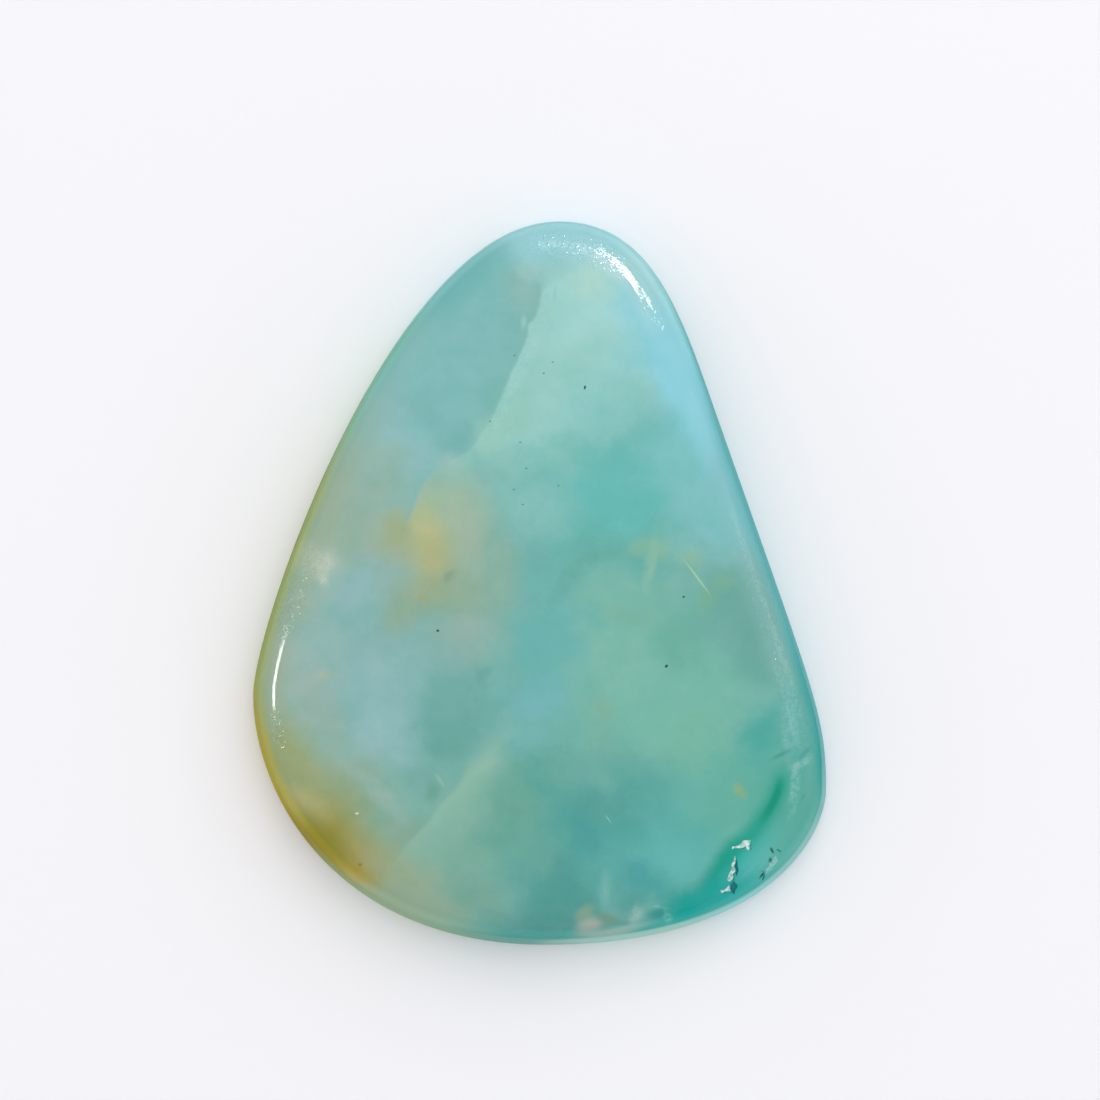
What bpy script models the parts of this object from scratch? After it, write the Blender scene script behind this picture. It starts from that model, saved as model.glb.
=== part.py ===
"""A polished opal cabochon in a free pear shape, as one solid at its real size.

Metres, +Z up. The stone lies on its flat back at Z = 0, its narrow tip points along +Y, and
the origin is under the middle of its box.
"""

import math

import bmesh
import bpy
import numpy as np
from mathutils import Vector
from mathutils.geometry import interpolate_bezier

MM = 0.001

# Driving sizes of the stone, in millimetres
THICKNESS = 5.0
BACK_BEVEL = 0.35
WALL_LEAN = 0.25
SHOULDER_HEIGHT = 2.1
SHOULDER_WIDTH = 2.3
SHOULDER_SWING = 0.5
WIDEST_SHOULDER_DEG = 20.0
DOME_RADIUS_ACROSS = 130.0
DOME_RADIUS_ALONG = 210.0

# The outline seen from above, clockwise from the tip: each knot has its place, the direction
# in which the outline runs through it, and how far its two handles reach
OUTLINE_MM = (
    {"at": (1.0, 19.0), "heading_deg": 0.0, "back": 8.7, "ahead": 4.9},
    {"at": (9.3, 8.8), "heading_deg": -70.8, "back": 5.9, "ahead": 15.7},
    {"at": (15.0, -10.8), "heading_deg": -90.0, "back": 3.9, "ahead": 2.4},
    {"at": (0.3, -19.0), "heading_deg": 180.0, "back": 11.8, "ahead": 11.1},
    {"at": (-15.0, -5.9), "heading_deg": 90.0, "back": 5.1, "ahead": 3.5},
)

# How finely the solid is faceted
SIDES = 112
WALL_STEPS = 2
SHOULDER_STEPS = 8
DOME_STEPS = 6
CURVE_STEPS = 80

OPAL_COLOUR = (0.26, 0.52, 0.48, 1.0)
OPAL_ROUGHNESS = 0.12


def clear_scene():
    for old in list(bpy.data.objects):
        bpy.data.objects.remove(old)


def handle(knot, reach):
    """The point at a distance along a knot's heading, in front of it or behind it."""
    heading = math.radians(knot["heading_deg"])
    return Vector(knot["at"]) + reach * Vector((math.cos(heading), math.sin(heading)))


def outline_points():
    """SIDES points, evenly spaced round the closed outline and centred on its box."""
    points = []
    for knot, following in zip(OUTLINE_MM, OUTLINE_MM[1:] + OUTLINE_MM[:1]):
        stretch = interpolate_bezier(
            Vector(knot["at"]),
            handle(knot, knot["ahead"]),
            handle(following, -following["back"]),
            Vector(following["at"]),
            CURVE_STEPS,
        )
        points += [point.xy for point in stretch[:-1]]
    loop = np.array(points + points[:1])
    reached = np.concatenate([[0.0], np.cumsum(np.linalg.norm(np.diff(loop, axis=0), axis=1))])
    wanted = np.linspace(0.0, reached[-1], SIDES, endpoint=False)
    even = np.stack([np.interp(wanted, reached, loop[:, axis]) for axis in (0, 1)], axis=1)
    return even - (even.min(axis=0) + even.max(axis=0)) / 2


def outward_normals(outline):
    """The unit normal at each point of a clockwise outline, pointing out of the stone."""
    along = np.roll(outline, -1, axis=0) - np.roll(outline, 1, axis=0)
    outward = np.stack([-along[:, 1], along[:, 0]], axis=1)
    return outward / np.linalg.norm(outward, axis=1, keepdims=True)


def dome_drop(places):
    """How far the low dome has fallen below the crown at each place."""
    return places[:, 0] ** 2 / (2 * DOME_RADIUS_ACROSS) + places[:, 1] ** 2 / (2 * DOME_RADIUS_ALONG)


def shoulder_widths(outward):
    """The shoulder is wide on one flank of the stone and tight on the other."""
    facing = np.arctan2(outward[:, 1], outward[:, 0])
    swing = np.cos(facing - math.radians(WIDEST_SHOULDER_DEG))
    return SHOULDER_WIDTH + SHOULDER_SWING * swing


def stone_rings():
    """The rings of points that the surface runs through, from the flat back to the crown."""
    outline = outline_points()
    outward = outward_normals(outline)
    widths = shoulder_widths(outward)

    def ring(inset, heights):
        places = outline - outward * np.broadcast_to(inset, SIDES)[:, None]
        return np.column_stack([places, np.broadcast_to(heights, SIDES)])

    brow = outline - outward * (WALL_LEAN + widths)[:, None]
    top_of_wall = THICKNESS - dome_drop(brow) - SHOULDER_HEIGHT

    rings = [ring(BACK_BEVEL, 0.0), ring(0.0, BACK_BEVEL)]
    for step in range(1, WALL_STEPS + 1):
        share = step / WALL_STEPS
        rings.append(ring(WALL_LEAN * share, BACK_BEVEL + (top_of_wall - BACK_BEVEL) * share))
    for step in range(1, SHOULDER_STEPS + 1):
        turn = math.radians(90.0 * step / SHOULDER_STEPS)
        inset = WALL_LEAN + widths * (1.0 - math.cos(turn))
        rings.append(ring(inset, top_of_wall + SHOULDER_HEIGHT * math.sin(turn)))
    for step in range(1, DOME_STEPS):
        places = brow * (1.0 - step / DOME_STEPS)
        rings.append(np.column_stack([places, THICKNESS - dome_drop(places)]))
    return [ring_points * MM for ring_points in rings]


def place_ring(vertices, points):
    for vertex, point in zip(vertices, points):
        vertex.co = Vector(point)


def next_ring(bm, ring_edges, vertices):
    """Extrudes an open ring of edges and returns the new ring, in the same order."""
    made = bmesh.ops.extrude_edge_only(bm, edges=ring_edges)["geom"]
    new = {item for item in made if isinstance(item, bmesh.types.BMVert)}
    edges = [item for item in made if isinstance(item, bmesh.types.BMEdge)]
    ring_edges = [edge for edge in edges if set(edge.verts) <= new]
    above = {}
    for vertex in vertices:
        for edge in vertex.link_edges:
            other = edge.other_vert(vertex)
            if other in new:
                above[vertex] = other
    return ring_edges, [above[vertex] for vertex in vertices]


def stone_mesh():
    """Extrudes the rings upwards from the back, and closes them on the crown and underneath."""
    rings = stone_rings()
    bm = bmesh.new()
    vertices = bmesh.ops.create_circle(bm, segments=SIDES, radius=MM)["verts"]
    ring_edges = list(bm.edges)
    place_ring(vertices, rings[0])
    bmesh.ops.contextual_create(bm, geom=ring_edges)
    for points in rings[1:]:
        ring_edges, vertices = next_ring(bm, ring_edges, vertices)
        place_ring(vertices, points)
    ring_edges, vertices = next_ring(bm, ring_edges, vertices)
    crown = Vector((0.0, 0.0, THICKNESS * MM))
    bmesh.ops.pointmerge(bm, verts=vertices, merge_co=crown)
    bmesh.ops.recalc_face_normals(bm, faces=bm.faces)
    mesh = bpy.data.meshes.new("opal_cabochon")
    bm.to_mesh(mesh)
    bm.free()
    return mesh


def opal_material():
    material = bpy.data.materials.new("opal")
    material.use_nodes = True
    shader = material.node_tree.nodes["Principled BSDF"]
    shader.inputs["Base Color"].default_value = OPAL_COLOUR
    shader.inputs["Roughness"].default_value = OPAL_ROUGHNESS
    shader.inputs["Metallic"].default_value = 0.0
    return material


def opal_cabochon():
    mesh = stone_mesh()
    mesh.materials.append(opal_material())
    mesh.shade_smooth()
    mesh.set_sharp_from_angle(angle=math.radians(30.0))
    stone = bpy.data.objects.new("opal_cabochon", mesh)
    bpy.context.scene.collection.objects.link(stone)
    return stone


def main():
    clear_scene()
    opal_cabochon()


main()
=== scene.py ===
# %% [markdown]
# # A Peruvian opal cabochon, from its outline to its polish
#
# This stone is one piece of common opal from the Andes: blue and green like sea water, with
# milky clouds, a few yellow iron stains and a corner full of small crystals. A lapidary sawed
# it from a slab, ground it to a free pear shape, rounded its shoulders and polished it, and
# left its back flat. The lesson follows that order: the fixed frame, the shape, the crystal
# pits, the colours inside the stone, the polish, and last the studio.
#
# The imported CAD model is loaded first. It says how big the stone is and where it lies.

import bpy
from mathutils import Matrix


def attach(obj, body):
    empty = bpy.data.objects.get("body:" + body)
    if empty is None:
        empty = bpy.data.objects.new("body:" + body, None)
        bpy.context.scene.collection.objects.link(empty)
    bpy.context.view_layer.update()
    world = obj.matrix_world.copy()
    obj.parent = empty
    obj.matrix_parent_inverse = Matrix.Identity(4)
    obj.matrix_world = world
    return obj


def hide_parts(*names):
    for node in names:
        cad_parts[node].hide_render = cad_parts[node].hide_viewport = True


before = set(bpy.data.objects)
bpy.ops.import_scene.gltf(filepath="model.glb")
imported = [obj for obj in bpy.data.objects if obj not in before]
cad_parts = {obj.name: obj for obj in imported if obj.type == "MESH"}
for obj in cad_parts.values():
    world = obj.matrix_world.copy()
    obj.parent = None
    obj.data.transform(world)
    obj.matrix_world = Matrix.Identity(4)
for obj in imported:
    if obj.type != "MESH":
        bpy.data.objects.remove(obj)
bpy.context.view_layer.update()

# %% The tools of this bench
import math
from typing import NamedTuple

import bmesh
import bpy
import numpy as np
from mathutils import Vector, noise
from mathutils.geometry import interpolate_bezier

MM = 0.001
print("Blender", bpy.app.version_string)

# %% [markdown]
# ## The outline
#
# Seen from above the stone is a pear with a leaning tip, one almost straight flank and one
# round one. Five knots are enough for it, because a smooth curve between few knots stays
# smooth, where a line through many traced points would show every small error in the gloss.
# Each knot says where it is, which way the outline runs through it, and how far its two
# handles reach.

# %% The five knots of the outline
OUTLINE_MM = (
    {"at": (1.0, 19.0), "heading_deg": 0.0, "back": 8.7, "ahead": 4.9},
    {"at": (9.3, 8.8), "heading_deg": -70.8, "back": 5.9, "ahead": 15.7},
    {"at": (15.0, -10.8), "heading_deg": -90.0, "back": 3.9, "ahead": 2.4},
    {"at": (0.3, -19.0), "heading_deg": 180.0, "back": 11.8, "ahead": 11.1},
    {"at": (-15.0, -5.9), "heading_deg": 90.0, "back": 5.1, "ahead": 3.5},
)
CURVE_STEPS = 600


def handle(knot, reach):
    """The point at a distance along a knot's heading, in front of it or behind it."""
    heading = math.radians(knot["heading_deg"])
    return Vector(knot["at"]) + reach * Vector((math.cos(heading), math.sin(heading)))


def outline_curve():
    """The closed outline as many close points, clockwise from the tip."""
    points = []
    for knot, following in zip(OUTLINE_MM, OUTLINE_MM[1:] + OUTLINE_MM[:1]):
        stretch = interpolate_bezier(
            Vector(knot["at"]),
            handle(knot, knot["ahead"]),
            handle(following, -following["back"]),
            Vector(following["at"]),
            CURVE_STEPS,
        )
        points += [point.xy for point in stretch[:-1]]
    return np.array(points + points[:1])


curve = outline_curve()
print("outline box in mm:", np.round(curve.min(axis=0), 2), np.round(curve.max(axis=0), 2))

# %% [markdown]
# The mesh gets its sides from this curve. They could be spaced evenly, but the crystal pits in
# the lower right corner are under a millimetre across and need much finer faces than the rest.
# So each stretch of the outline is weighed by how near it is to that corner, and the sides are
# spaced evenly by weight.

# %% Space the sides, closer together near the pits
SIDES = 720
PIT_CORNER = np.array((12.0, -15.5))
CORNER_REACH = 3.6
CORNER_DENSITY = 4.0


def spaced_outline():
    """SIDES points round the outline, closest together near the crystal pits."""
    steps = np.linalg.norm(np.diff(curve, axis=0), axis=1)
    middles = (curve[1:] + curve[:-1]) / 2
    distance = np.linalg.norm(middles - PIT_CORNER, axis=1)
    weight = 1.0 + CORNER_DENSITY * np.exp(-((distance / CORNER_REACH) ** 2))
    reached = np.concatenate([[0.0], np.cumsum(steps * weight)])
    wanted = np.linspace(0.0, reached[-1], SIDES, endpoint=False)
    spaced = np.stack([np.interp(wanted, reached, curve[:, axis]) for axis in (0, 1)], axis=1)
    return spaced - (spaced.min(axis=0) + spaced.max(axis=0)) / 2


def outward_normals(points):
    """The unit normal at each point of a clockwise outline, pointing out of the stone."""
    along = np.roll(points, -1, axis=0) - np.roll(points, 1, axis=0)
    outward = np.stack([-along[:, 1], along[:, 0]], axis=1)
    return outward / np.linalg.norm(outward, axis=1, keepdims=True)


outline = spaced_outline()
outward = outward_normals(outline)
side_lengths = np.linalg.norm(np.roll(outline, -1, axis=0) - outline, axis=1)
print("side lengths in mm:", round(side_lengths.min(), 3), "to", round(side_lengths.max(), 3))

# %% [markdown]
# ## The profile
#
# Cut through, the stone has a flat back, a small bevel against chipping, a wall that leans in
# a little, a rounded shoulder and a very low dome. The dome falls away from the crown as a
# parabola that is tighter across than along. The shoulder takes away a further drop that
# starts from nothing, so that the polish runs from dome to shoulder without a ridge: its curve
# is a superellipse, whose bend grows gently where a circle's would start at once.

# %% The sizes of the profile
THICKNESS = 5.0
BACK_BEVEL = 0.35
WALL_LEAN = 0.25
SHOULDER_HEIGHT = 2.1
SHOULDER_WIDTH = 2.3
SHOULDER_SWING = 0.5
WIDEST_SHOULDER_DEG = 20.0
SHOULDER_FULLNESS = 2.3
DOME_RADIUS_ACROSS = 130.0
DOME_RADIUS_ALONG = 210.0


def dome_drop(places):
    """How far the low dome has fallen below the crown at each place."""
    return places[:, 0] ** 2 / (2 * DOME_RADIUS_ACROSS) + places[:, 1] ** 2 / (2 * DOME_RADIUS_ALONG)


def shoulder_widths():
    """The shoulder is wide on one flank of the stone and tight on the other."""
    facing = np.arctan2(outward[:, 1], outward[:, 0])
    return SHOULDER_WIDTH + SHOULDER_SWING * np.cos(facing - math.radians(WIDEST_SHOULDER_DEG))


widths = shoulder_widths()
print("shoulder from", round(widths.min(), 2), "to", round(widths.max(), 2), "mm wide")

# %% [markdown]
# A stone this even is best described ring by ring: each ring is the outline moved inwards by
# some inset and lifted to some height. The list starts in the middle of the back and ends at
# the crown. The back, the bevel and the wall are plain shapes and need only a few rings.

# %% Rings of the back, the bevel and the wall
BACK_STEPS = 3
BEVEL_STEPS = 4
WALL_STEPS = 8


def ring_of(inset, height):
    """The outline moved inwards by an inset, at a height, both in mm."""
    inset = np.broadcast_to(inset, SIDES)
    places = outline - outward * inset[:, None]
    return np.column_stack([places, np.broadcast_to(height, SIDES), inset])


def back_rings():
    """Flat rings from near the middle of the back out to the bevel."""
    rim = outline - outward * BACK_BEVEL
    rings = []
    for step in range(1, BACK_STEPS + 1):
        share = step / BACK_STEPS
        inset = BACK_BEVEL + (1.0 - share) * np.linalg.norm(rim, axis=1)
        rings.append(np.column_stack([rim * share, np.zeros(SIDES), inset]))
    return rings


def bevel_rings():
    """The quarter round of the bevel, from the back up to the wall."""
    rings = []
    for step in range(1, BEVEL_STEPS + 1):
        turn = math.radians(90.0 * step / BEVEL_STEPS)
        rings.append(ring_of(BACK_BEVEL * (1.0 - math.sin(turn)), BACK_BEVEL * (1.0 - math.cos(turn))))
    return rings


def wall_top():
    """The height at which the wall ends and the shoulder starts."""
    places = outline - outward * WALL_LEAN
    return THICKNESS - dome_drop(places) - SHOULDER_HEIGHT


def wall_rings():
    """The leaning wall, in equal steps."""
    rings = []
    for step in range(1, WALL_STEPS + 1):
        share = step / WALL_STEPS
        rings.append(ring_of(WALL_LEAN * share, BACK_BEVEL + (wall_top() - BACK_BEVEL) * share))
    return rings


rings = back_rings() + bevel_rings() + wall_rings()
print(len(rings), "rings up to the top of the wall")

# %% [markdown]
# The gloss would show coarse facets on the shoulder and the dome, so they have many rings. Even
# steps raised to a power crowd the rings of both towards the outside, where the surface turns
# down, and thin them out towards the crown.

# %% Rings of the shoulder and the dome
SHOULDER_STEPS = 48
SHOULDER_CROWDING = 1.5
DOME_STEPS = 46
DOME_CROWDING = 1.6


def shoulder_rings():
    """The superellipse of the shoulder, from the wall to the dome."""
    rings = []
    for step in range(1, SHOULDER_STEPS + 1):
        inwards = (step / SHOULDER_STEPS) ** SHOULDER_CROWDING
        risen = math.sqrt(1.0 - (1.0 - inwards) ** SHOULDER_FULLNESS)
        inset = WALL_LEAN + widths * inwards
        places = outline - outward * inset[:, None]
        height = THICKNESS - dome_drop(places) - SHOULDER_HEIGHT * (1.0 - risen)
        rings.append(ring_of(inset, height))
    return rings


def dome_rings():
    """The low dome, from the end of the shoulder almost to the crown."""
    inset = WALL_LEAN + widths
    brow = outline - outward * inset[:, None]
    rings = []
    for step in range(1, DOME_STEPS):
        share = (step / DOME_STEPS) ** DOME_CROWDING
        places = brow * (1.0 - share)
        reach = inset + share * np.linalg.norm(brow, axis=1)
        rings.append(np.column_stack([places, THICKNESS - dome_drop(places), reach]))
    return rings


rings += shoulder_rings() + dome_rings()
print(len(rings), "rings of", SIDES, "points in all")

# %% [markdown]
# ## From rings to a closed mesh
#
# Blender can bridge loose rings, but extruding one ring after another keeps every point's
# neighbour known, so each new ring can be put in its place at once. The first ring and the
# last are each drawn together to one point, which closes the back and the crown.
#
# Each point also remembers how far it lies from the outline. The finish uses that later,
# because the colour and the polish of such a stone change near its edge.

# %% Extrude the rings
MIDDLE_INSET = 14.0


def next_ring(bm, ring_edges, ring_points):
    """Extrudes an open ring of edges and returns the new ring, in the same order."""
    made = bmesh.ops.extrude_edge_only(bm, edges=ring_edges)["geom"]
    new = {item for item in made if isinstance(item, bmesh.types.BMVert)}
    edges = [item for item in made if isinstance(item, bmesh.types.BMEdge)]
    ring_edges = [edge for edge in edges if set(edge.verts) <= new]
    above = {}
    for vertex in ring_points:
        for edge in vertex.link_edges:
            other = edge.other_vert(vertex)
            if other in new:
                above[vertex] = other
    return ring_edges, [above[vertex] for vertex in ring_points]


def place_ring(ring_points, places, inset_layer):
    """Moves a ring's points to their places, and leaves their insets on them."""
    for vertex, (x, y, z, inset) in zip(ring_points, places.tolist()):
        vertex.co = Vector((x, y, z)) * MM
        vertex[inset_layer] = inset


def draw_together(bm, ring_edges, ring_points, inset_layer, height):
    """Extrudes a ring once more and merges it to one point on the stone's own axis."""
    _, last = next_ring(bm, ring_edges, ring_points)
    for vertex in last:
        vertex[inset_layer] = MIDDLE_INSET
    bmesh.ops.pointmerge(bm, verts=last, merge_co=Vector((0.0, 0.0, height * MM)))


def stone_body():
    """The closed stone as a bmesh, with its distance from the outline on every point."""
    bm = bmesh.new()
    inset_layer = bm.verts.layers.float.new("inset")
    ring_points = bmesh.ops.create_circle(bm, segments=SIDES, radius=MM)["verts"]
    ring_edges = list(bm.edges)
    place_ring(ring_points, rings[0], inset_layer)
    draw_together(bm, ring_edges, ring_points, inset_layer, 0.0)
    for places in rings[1:]:
        ring_edges, ring_points = next_ring(bm, ring_edges, ring_points)
        place_ring(ring_points, places, inset_layer)
    draw_together(bm, ring_edges, ring_points, inset_layer, THICKNESS)
    bmesh.ops.recalc_face_normals(bm, faces=bm.faces)
    return bm


stone = stone_body()
open_edges = sum(edge.is_boundary for edge in stone.edges)
print(len(stone.faces), "faces,", open_edges, "open edges")

# %% [markdown]
# The wall meets the back bevel and the shoulder in faint creases. On the real stone the
# polishing felt has softened them, and `smooth_vert` does the same: it draws each point of
# those bands a little towards its neighbours, a few times over.

# %% Soften the creases of the wall
CREASE_INSET = 0.75
ABOVE_THE_WALL = 0.6
CREASE_PULL = 0.5
CREASE_PASSES = 6


def soften_creases(bm):
    """Smooths the wall and the start of the shoulder, and says how many points that moved."""
    inset_layer = bm.verts.layers.float["inset"]
    lowest = BACK_BEVEL * MM
    highest = (THICKNESS - SHOULDER_HEIGHT) * MM + ABOVE_THE_WALL * MM
    creased = [
        vertex
        for vertex in bm.verts
        if vertex[inset_layer] < CREASE_INSET and lowest < vertex.co.z < highest
    ]
    every_way = {"use_axis_x": True, "use_axis_y": True, "use_axis_z": True}
    for _ in range(CREASE_PASSES):
        bmesh.ops.smooth_vert(bm, verts=creased, factor=CREASE_PULL, **every_way)
    return len(creased)


print("softened", soften_creases(stone), "points")

# %% [markdown]
# ## The crystal pits
#
# In the lower right corner the saw cut through a few small cavities lined with pale crystal,
# and beside them lie a slit and some pin holes. They could be painted alone, but they are
# hollows in the polished face and break its gloss. So they are made in the mesh, where every
# point inside a pit sinks by the pit's depth. The faces are fine enough for it there, because
# the sides were crowded towards this corner.
#
# A pit is an ellipse whose rim a noise has made ragged. Two more numbers go with every point.
# `crust` says how far inside a lined pit it lies. `shade` says where shade is painted later:
# the same pit moved a little down to the right, where the broken wall is dark. A bare hollow
# has no crust, and its painted shade covers the hollow itself.

# %% The pits, in mm
class Pit(NamedTuple):
    """A hollow: middle and half sizes in mm, turn in degrees, depth in mm, crust and painted shade."""

    name: str
    at: tuple
    half: tuple
    turn: float
    depth: float
    crust: float = 1.0
    dark: float = 0.0


PITS = (
    Pit("arrow crystal", (10.58, -13.80), (0.36, 0.17), 24, 0.09),
    Pit("point of the arrow", (10.24, -13.98), (0.22, 0.06), 12, 0.06),
    Pit("barb of the arrow", (10.74, -13.98), (0.18, 0.12), 80, 0.08),
    Pit("long crystal, top", (10.08, -14.66), (0.28, 0.055), 84, 0.09),
    Pit("long crystal, middle", (9.98, -15.08), (0.30, 0.11), 84, 0.12),
    Pit("long crystal, low", (9.86, -15.48), (0.24, 0.12), 62, 0.12),
    Pit("foot crystal", (9.58, -16.19), (0.27, 0.09), 8, 0.09),
    Pit("heel of the foot", (9.74, -16.04), (0.17, 0.09), 55, 0.07),
    Pit("faint crystal", (12.02, -14.86), (0.62, 0.20), 63, 0.03, 0.46),
    # the bare hollows, the slit and the pin holes are dark by painted shade, given by their last
    # number
    Pit("hollow by the crystal", (10.18, -15.05), (0.40, 0.05), 86, 0.14, 0.0, 0.78),
    Pit("hollow by the foot", (10.04, -16.08), (0.34, 0.12), 82, 0.16, 0.0, 1.3),
    Pit("dark slit", (11.61, -15.50), (0.17, 0.06), 62, 0.08, 0.0, 1.95),
    Pit("dark pin above", (12.04, -14.15), (0.09, 0.05), -50, 0.05, 0.0, 1.95),
    Pit("dark pin beside", (12.43, -14.20), (0.05, 0.04), 0, 0.04, 0.0, 1.95),
    Pit("dark pin between", (11.96, -14.62), (0.11, 0.04), 80, 0.05, 0.0, 1.95),
    Pit("dark pin below", (11.50, -15.20), (0.03, 0.03), 0, 0.04, 0.0, 1.3),
)
print(len(PITS), "pits, the deepest of", max(pit.depth for pit in PITS), "mm")

# %% [markdown]
# Every point near the corner is tried against every pit. Where pits overlap the deepest counts,
# so that they run into one hollow. A finer noise lifts parts of the lined floor again, which
# leaves it crumbly, as a crust of small crystals is.

# %% Sink the pits
RAGGED_SIZE = 0.30
RAGGED_PUSH = 0.12
PIT_WALL = 0.30
SHADE_OFFSET = Vector((0.10, -0.07))
CRYSTAL_SHADE = 0.6
CRUMB_SIZE = 0.11
CRUMB_SHARE = 0.45
LOWEST_PIT = 1.0
LEAST_DROP = 0.01
NOISE_SEED = 3
noise.seed_set(NOISE_SEED)


def inside_pit(place, pit):
    """1 well inside a pit and 0 outside it, with a ragged rim."""
    push = noise.noise_vector(Vector((*place, 0.0)) / RAGGED_SIZE).xy * RAGGED_PUSH
    turn = math.radians(pit.turn)
    offset = place + push - Vector(pit.at)
    along = (offset.x * math.cos(turn) + offset.y * math.sin(turn)) / pit.half[0]
    aside = (offset.y * math.cos(turn) - offset.x * math.sin(turn)) / pit.half[1]
    share = (1.0 + PIT_WALL - math.hypot(along, aside)) / (2 * PIT_WALL)
    share = min(max(share, 0.0), 1.0)
    return share * share * (3.0 - 2.0 * share)


def sink_pits(bm):
    """Sinks the points inside the pits, and leaves the two numbers on them."""
    crust = bm.verts.layers.float.new("crust")
    shade = bm.verts.layers.float.new("shade")
    sunk = 0
    for vertex in bm.verts:
        place = vertex.co.xy / MM
        if vertex.co.z < LOWEST_PIT * MM or (place - Vector(PIT_CORNER)).length > CORNER_REACH:
            continue
        drop = 0.0
        for pit in PITS:
            inside = inside_pit(place, pit)
            beside = inside_pit(place - SHADE_OFFSET, pit)
            drop = max(drop, inside * pit.depth)
            vertex[crust] = max(vertex[crust], inside * pit.crust)
            shaded = max(beside * pit.crust * CRYSTAL_SHADE, inside * pit.dark)
            vertex[shade] = max(vertex[shade], shaded)
        crumbs = noise.noise(Vector((*place, 0.0)) / CRUMB_SIZE) * 0.5 + 0.5
        vertex.co.z -= drop * (1.0 - CRUMB_SHARE * crumbs * vertex[crust]) * MM
        sunk += drop > LEAST_DROP
    return sunk


print("sank", sink_pits(stone), "points")

# %% [markdown]
# ## The colours inside the stone
#
# Opal is clouded all the way through, so its colours aren't paint on a surface. They can be
# described as volumes: each cloud has a middle, a reach along and across, a turn, a soft edge
# and a colour. A shader node group makes one such soft cloud, and almost every marking of the
# stone is one use of it. The group reads the object's own coordinates in millimetres, so the sides
# and the back show the same clouds where they come through.
#
# First come the helpers that add a node and feed it. A soft step is a Map Range node. Its
# clamp is left off: a smooth step never leaves its range, and a clamp is one more node behind
# every mask, of which a renderer can hold only so many in one material.

# %% Helpers for shader nodes
def add(tree, kind, inputs=None, **settings):
    """Adds a shader node, sets its settings, and feeds its inputs with values or outputs."""
    made = tree.nodes.new("ShaderNode" + kind)
    for name, value in settings.items():
        setattr(made, name, value)
    for socket, value in (inputs or {}).items():
        if isinstance(value, bpy.types.NodeSocket):
            tree.links.new(value, made.inputs[socket])
        else:
            made.inputs[socket].default_value = value
    return made


def vector_maths(tree, operation, first, second):
    """One step of arithmetic with vectors, whose answer is a vector too."""
    return add(tree, "VectorMath", {0: first, 1: second}, operation=operation).outputs["Vector"]


def measured_along(tree, vector, direction):
    """How far a vector reaches in a direction, in units of one over the direction's length."""
    return add(tree, "VectorMath", {0: vector, 1: direction}, operation="DOT_PRODUCT").outputs["Value"]


def maths(tree, operation, first, second=0.0):
    """One step of arithmetic with plain numbers."""
    return add(tree, "Math", {0: first, 1: second}, operation=operation).outputs["Value"]


def ramp(tree, value, nothing, full):
    """A soft step: 0 where the value is `nothing`, 1 where it is `full`, smooth between."""
    inputs = {"Value": value, "From Min": nothing, "From Max": full}
    step = add(tree, "MapRange", inputs, interpolation_type="SMOOTHSTEP", clamp=False)
    return step.outputs["Result"]


print("a soft step is one", bpy.types.ShaderNodeMapRange.bl_rna.name, "node")

# %% [markdown]
# Shaders count in light values, while a colour picked from a screen is stored in steps that
# suit the eye, so every colour is converted first. The polish also mirrors the white room and
# lays a thin veil over whatever lies under it. The looks in the tables are those of the
# finished stone, so the veil is taken off again before they are painted.

# %% Colours under the polish
GLOSS_VEIL = 0.015
DARKEST = 0.002


def linear(red, green, blue):
    """A screen colour, each part 0 to 255, as light values, by the sRGB rule."""
    shares = [value / 255.0 for value in (red, green, blue)]
    return [s / 12.92 if s <= 0.04045 else ((s + 0.055) / 1.055) ** 2.4 for s in shares]


def under_gloss(colour):
    """The stone's own colour where it looks like this one through the veil of its polish."""
    return (*(max(part - GLOSS_VEIL, DARKEST) for part in linear(*colour)), 1.0)


print("a screen's mid grey is", round(linear(128, 128, 128)[0], 3), "in light values")

# %% The node group that makes one soft cloud
def new_group(name, inputs, outputs):
    """An empty shader node group with named sockets, and its two end nodes."""
    group = bpy.data.node_groups.new(name, "ShaderNodeTree")
    for socket_name, kind in inputs:
        group.interface.new_socket(name=socket_name, in_out="INPUT", socket_type="NodeSocket" + kind)
    for socket_name, kind in outputs:
        group.interface.new_socket(name=socket_name, in_out="OUTPUT", socket_type="NodeSocket" + kind)
    start = group.nodes.new("NodeGroupInput")
    end = group.nodes.new("NodeGroupOutput")
    return group, start, end


def soft_cloud_group():
    """Mask of one cloud: its strength in its middle, about half on its ellipse, 0 far outside."""
    group, start, end = new_group(
        "soft cloud",
        inputs=(
            ("Place", "Vector"),
            ("Centre", "Vector"),
            ("Along", "Vector"),
            ("Aside", "Vector"),
            ("Softness", "Float"),
            ("Strength", "Float"),
        ),
        outputs=(("Mask", "Float"),),
    )
    given = start.outputs
    from_centre = vector_maths(group, "SUBTRACT", given["Place"], given["Centre"])
    along = measured_along(group, from_centre, given["Along"])
    aside = measured_along(group, from_centre, given["Aside"])
    aside_squared = maths(group, "MULTIPLY", aside, aside)
    squares = add(group, "Math", {0: along, 1: along, 2: aside_squared}, operation="MULTIPLY_ADD")
    fade = {
        "Value": maths(group, "SQRT", squares.outputs["Value"]),
        "From Min": maths(group, "ADD", 1.0, given["Softness"]),
        "From Max": maths(group, "SUBTRACT", 1.0, given["Softness"]),
        "To Max": given["Strength"],
    }
    mask = add(group, "MapRange", fade, interpolation_type="SMOOTHSTEP", clamp=False)
    group.links.new(mask.outputs["Result"], end.inputs["Mask"])
    return group


SOFT_CLOUD = soft_cloud_group()
print("group:", SOFT_CLOUD.name, "with", len(SOFT_CLOUD.nodes), "nodes")

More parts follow.
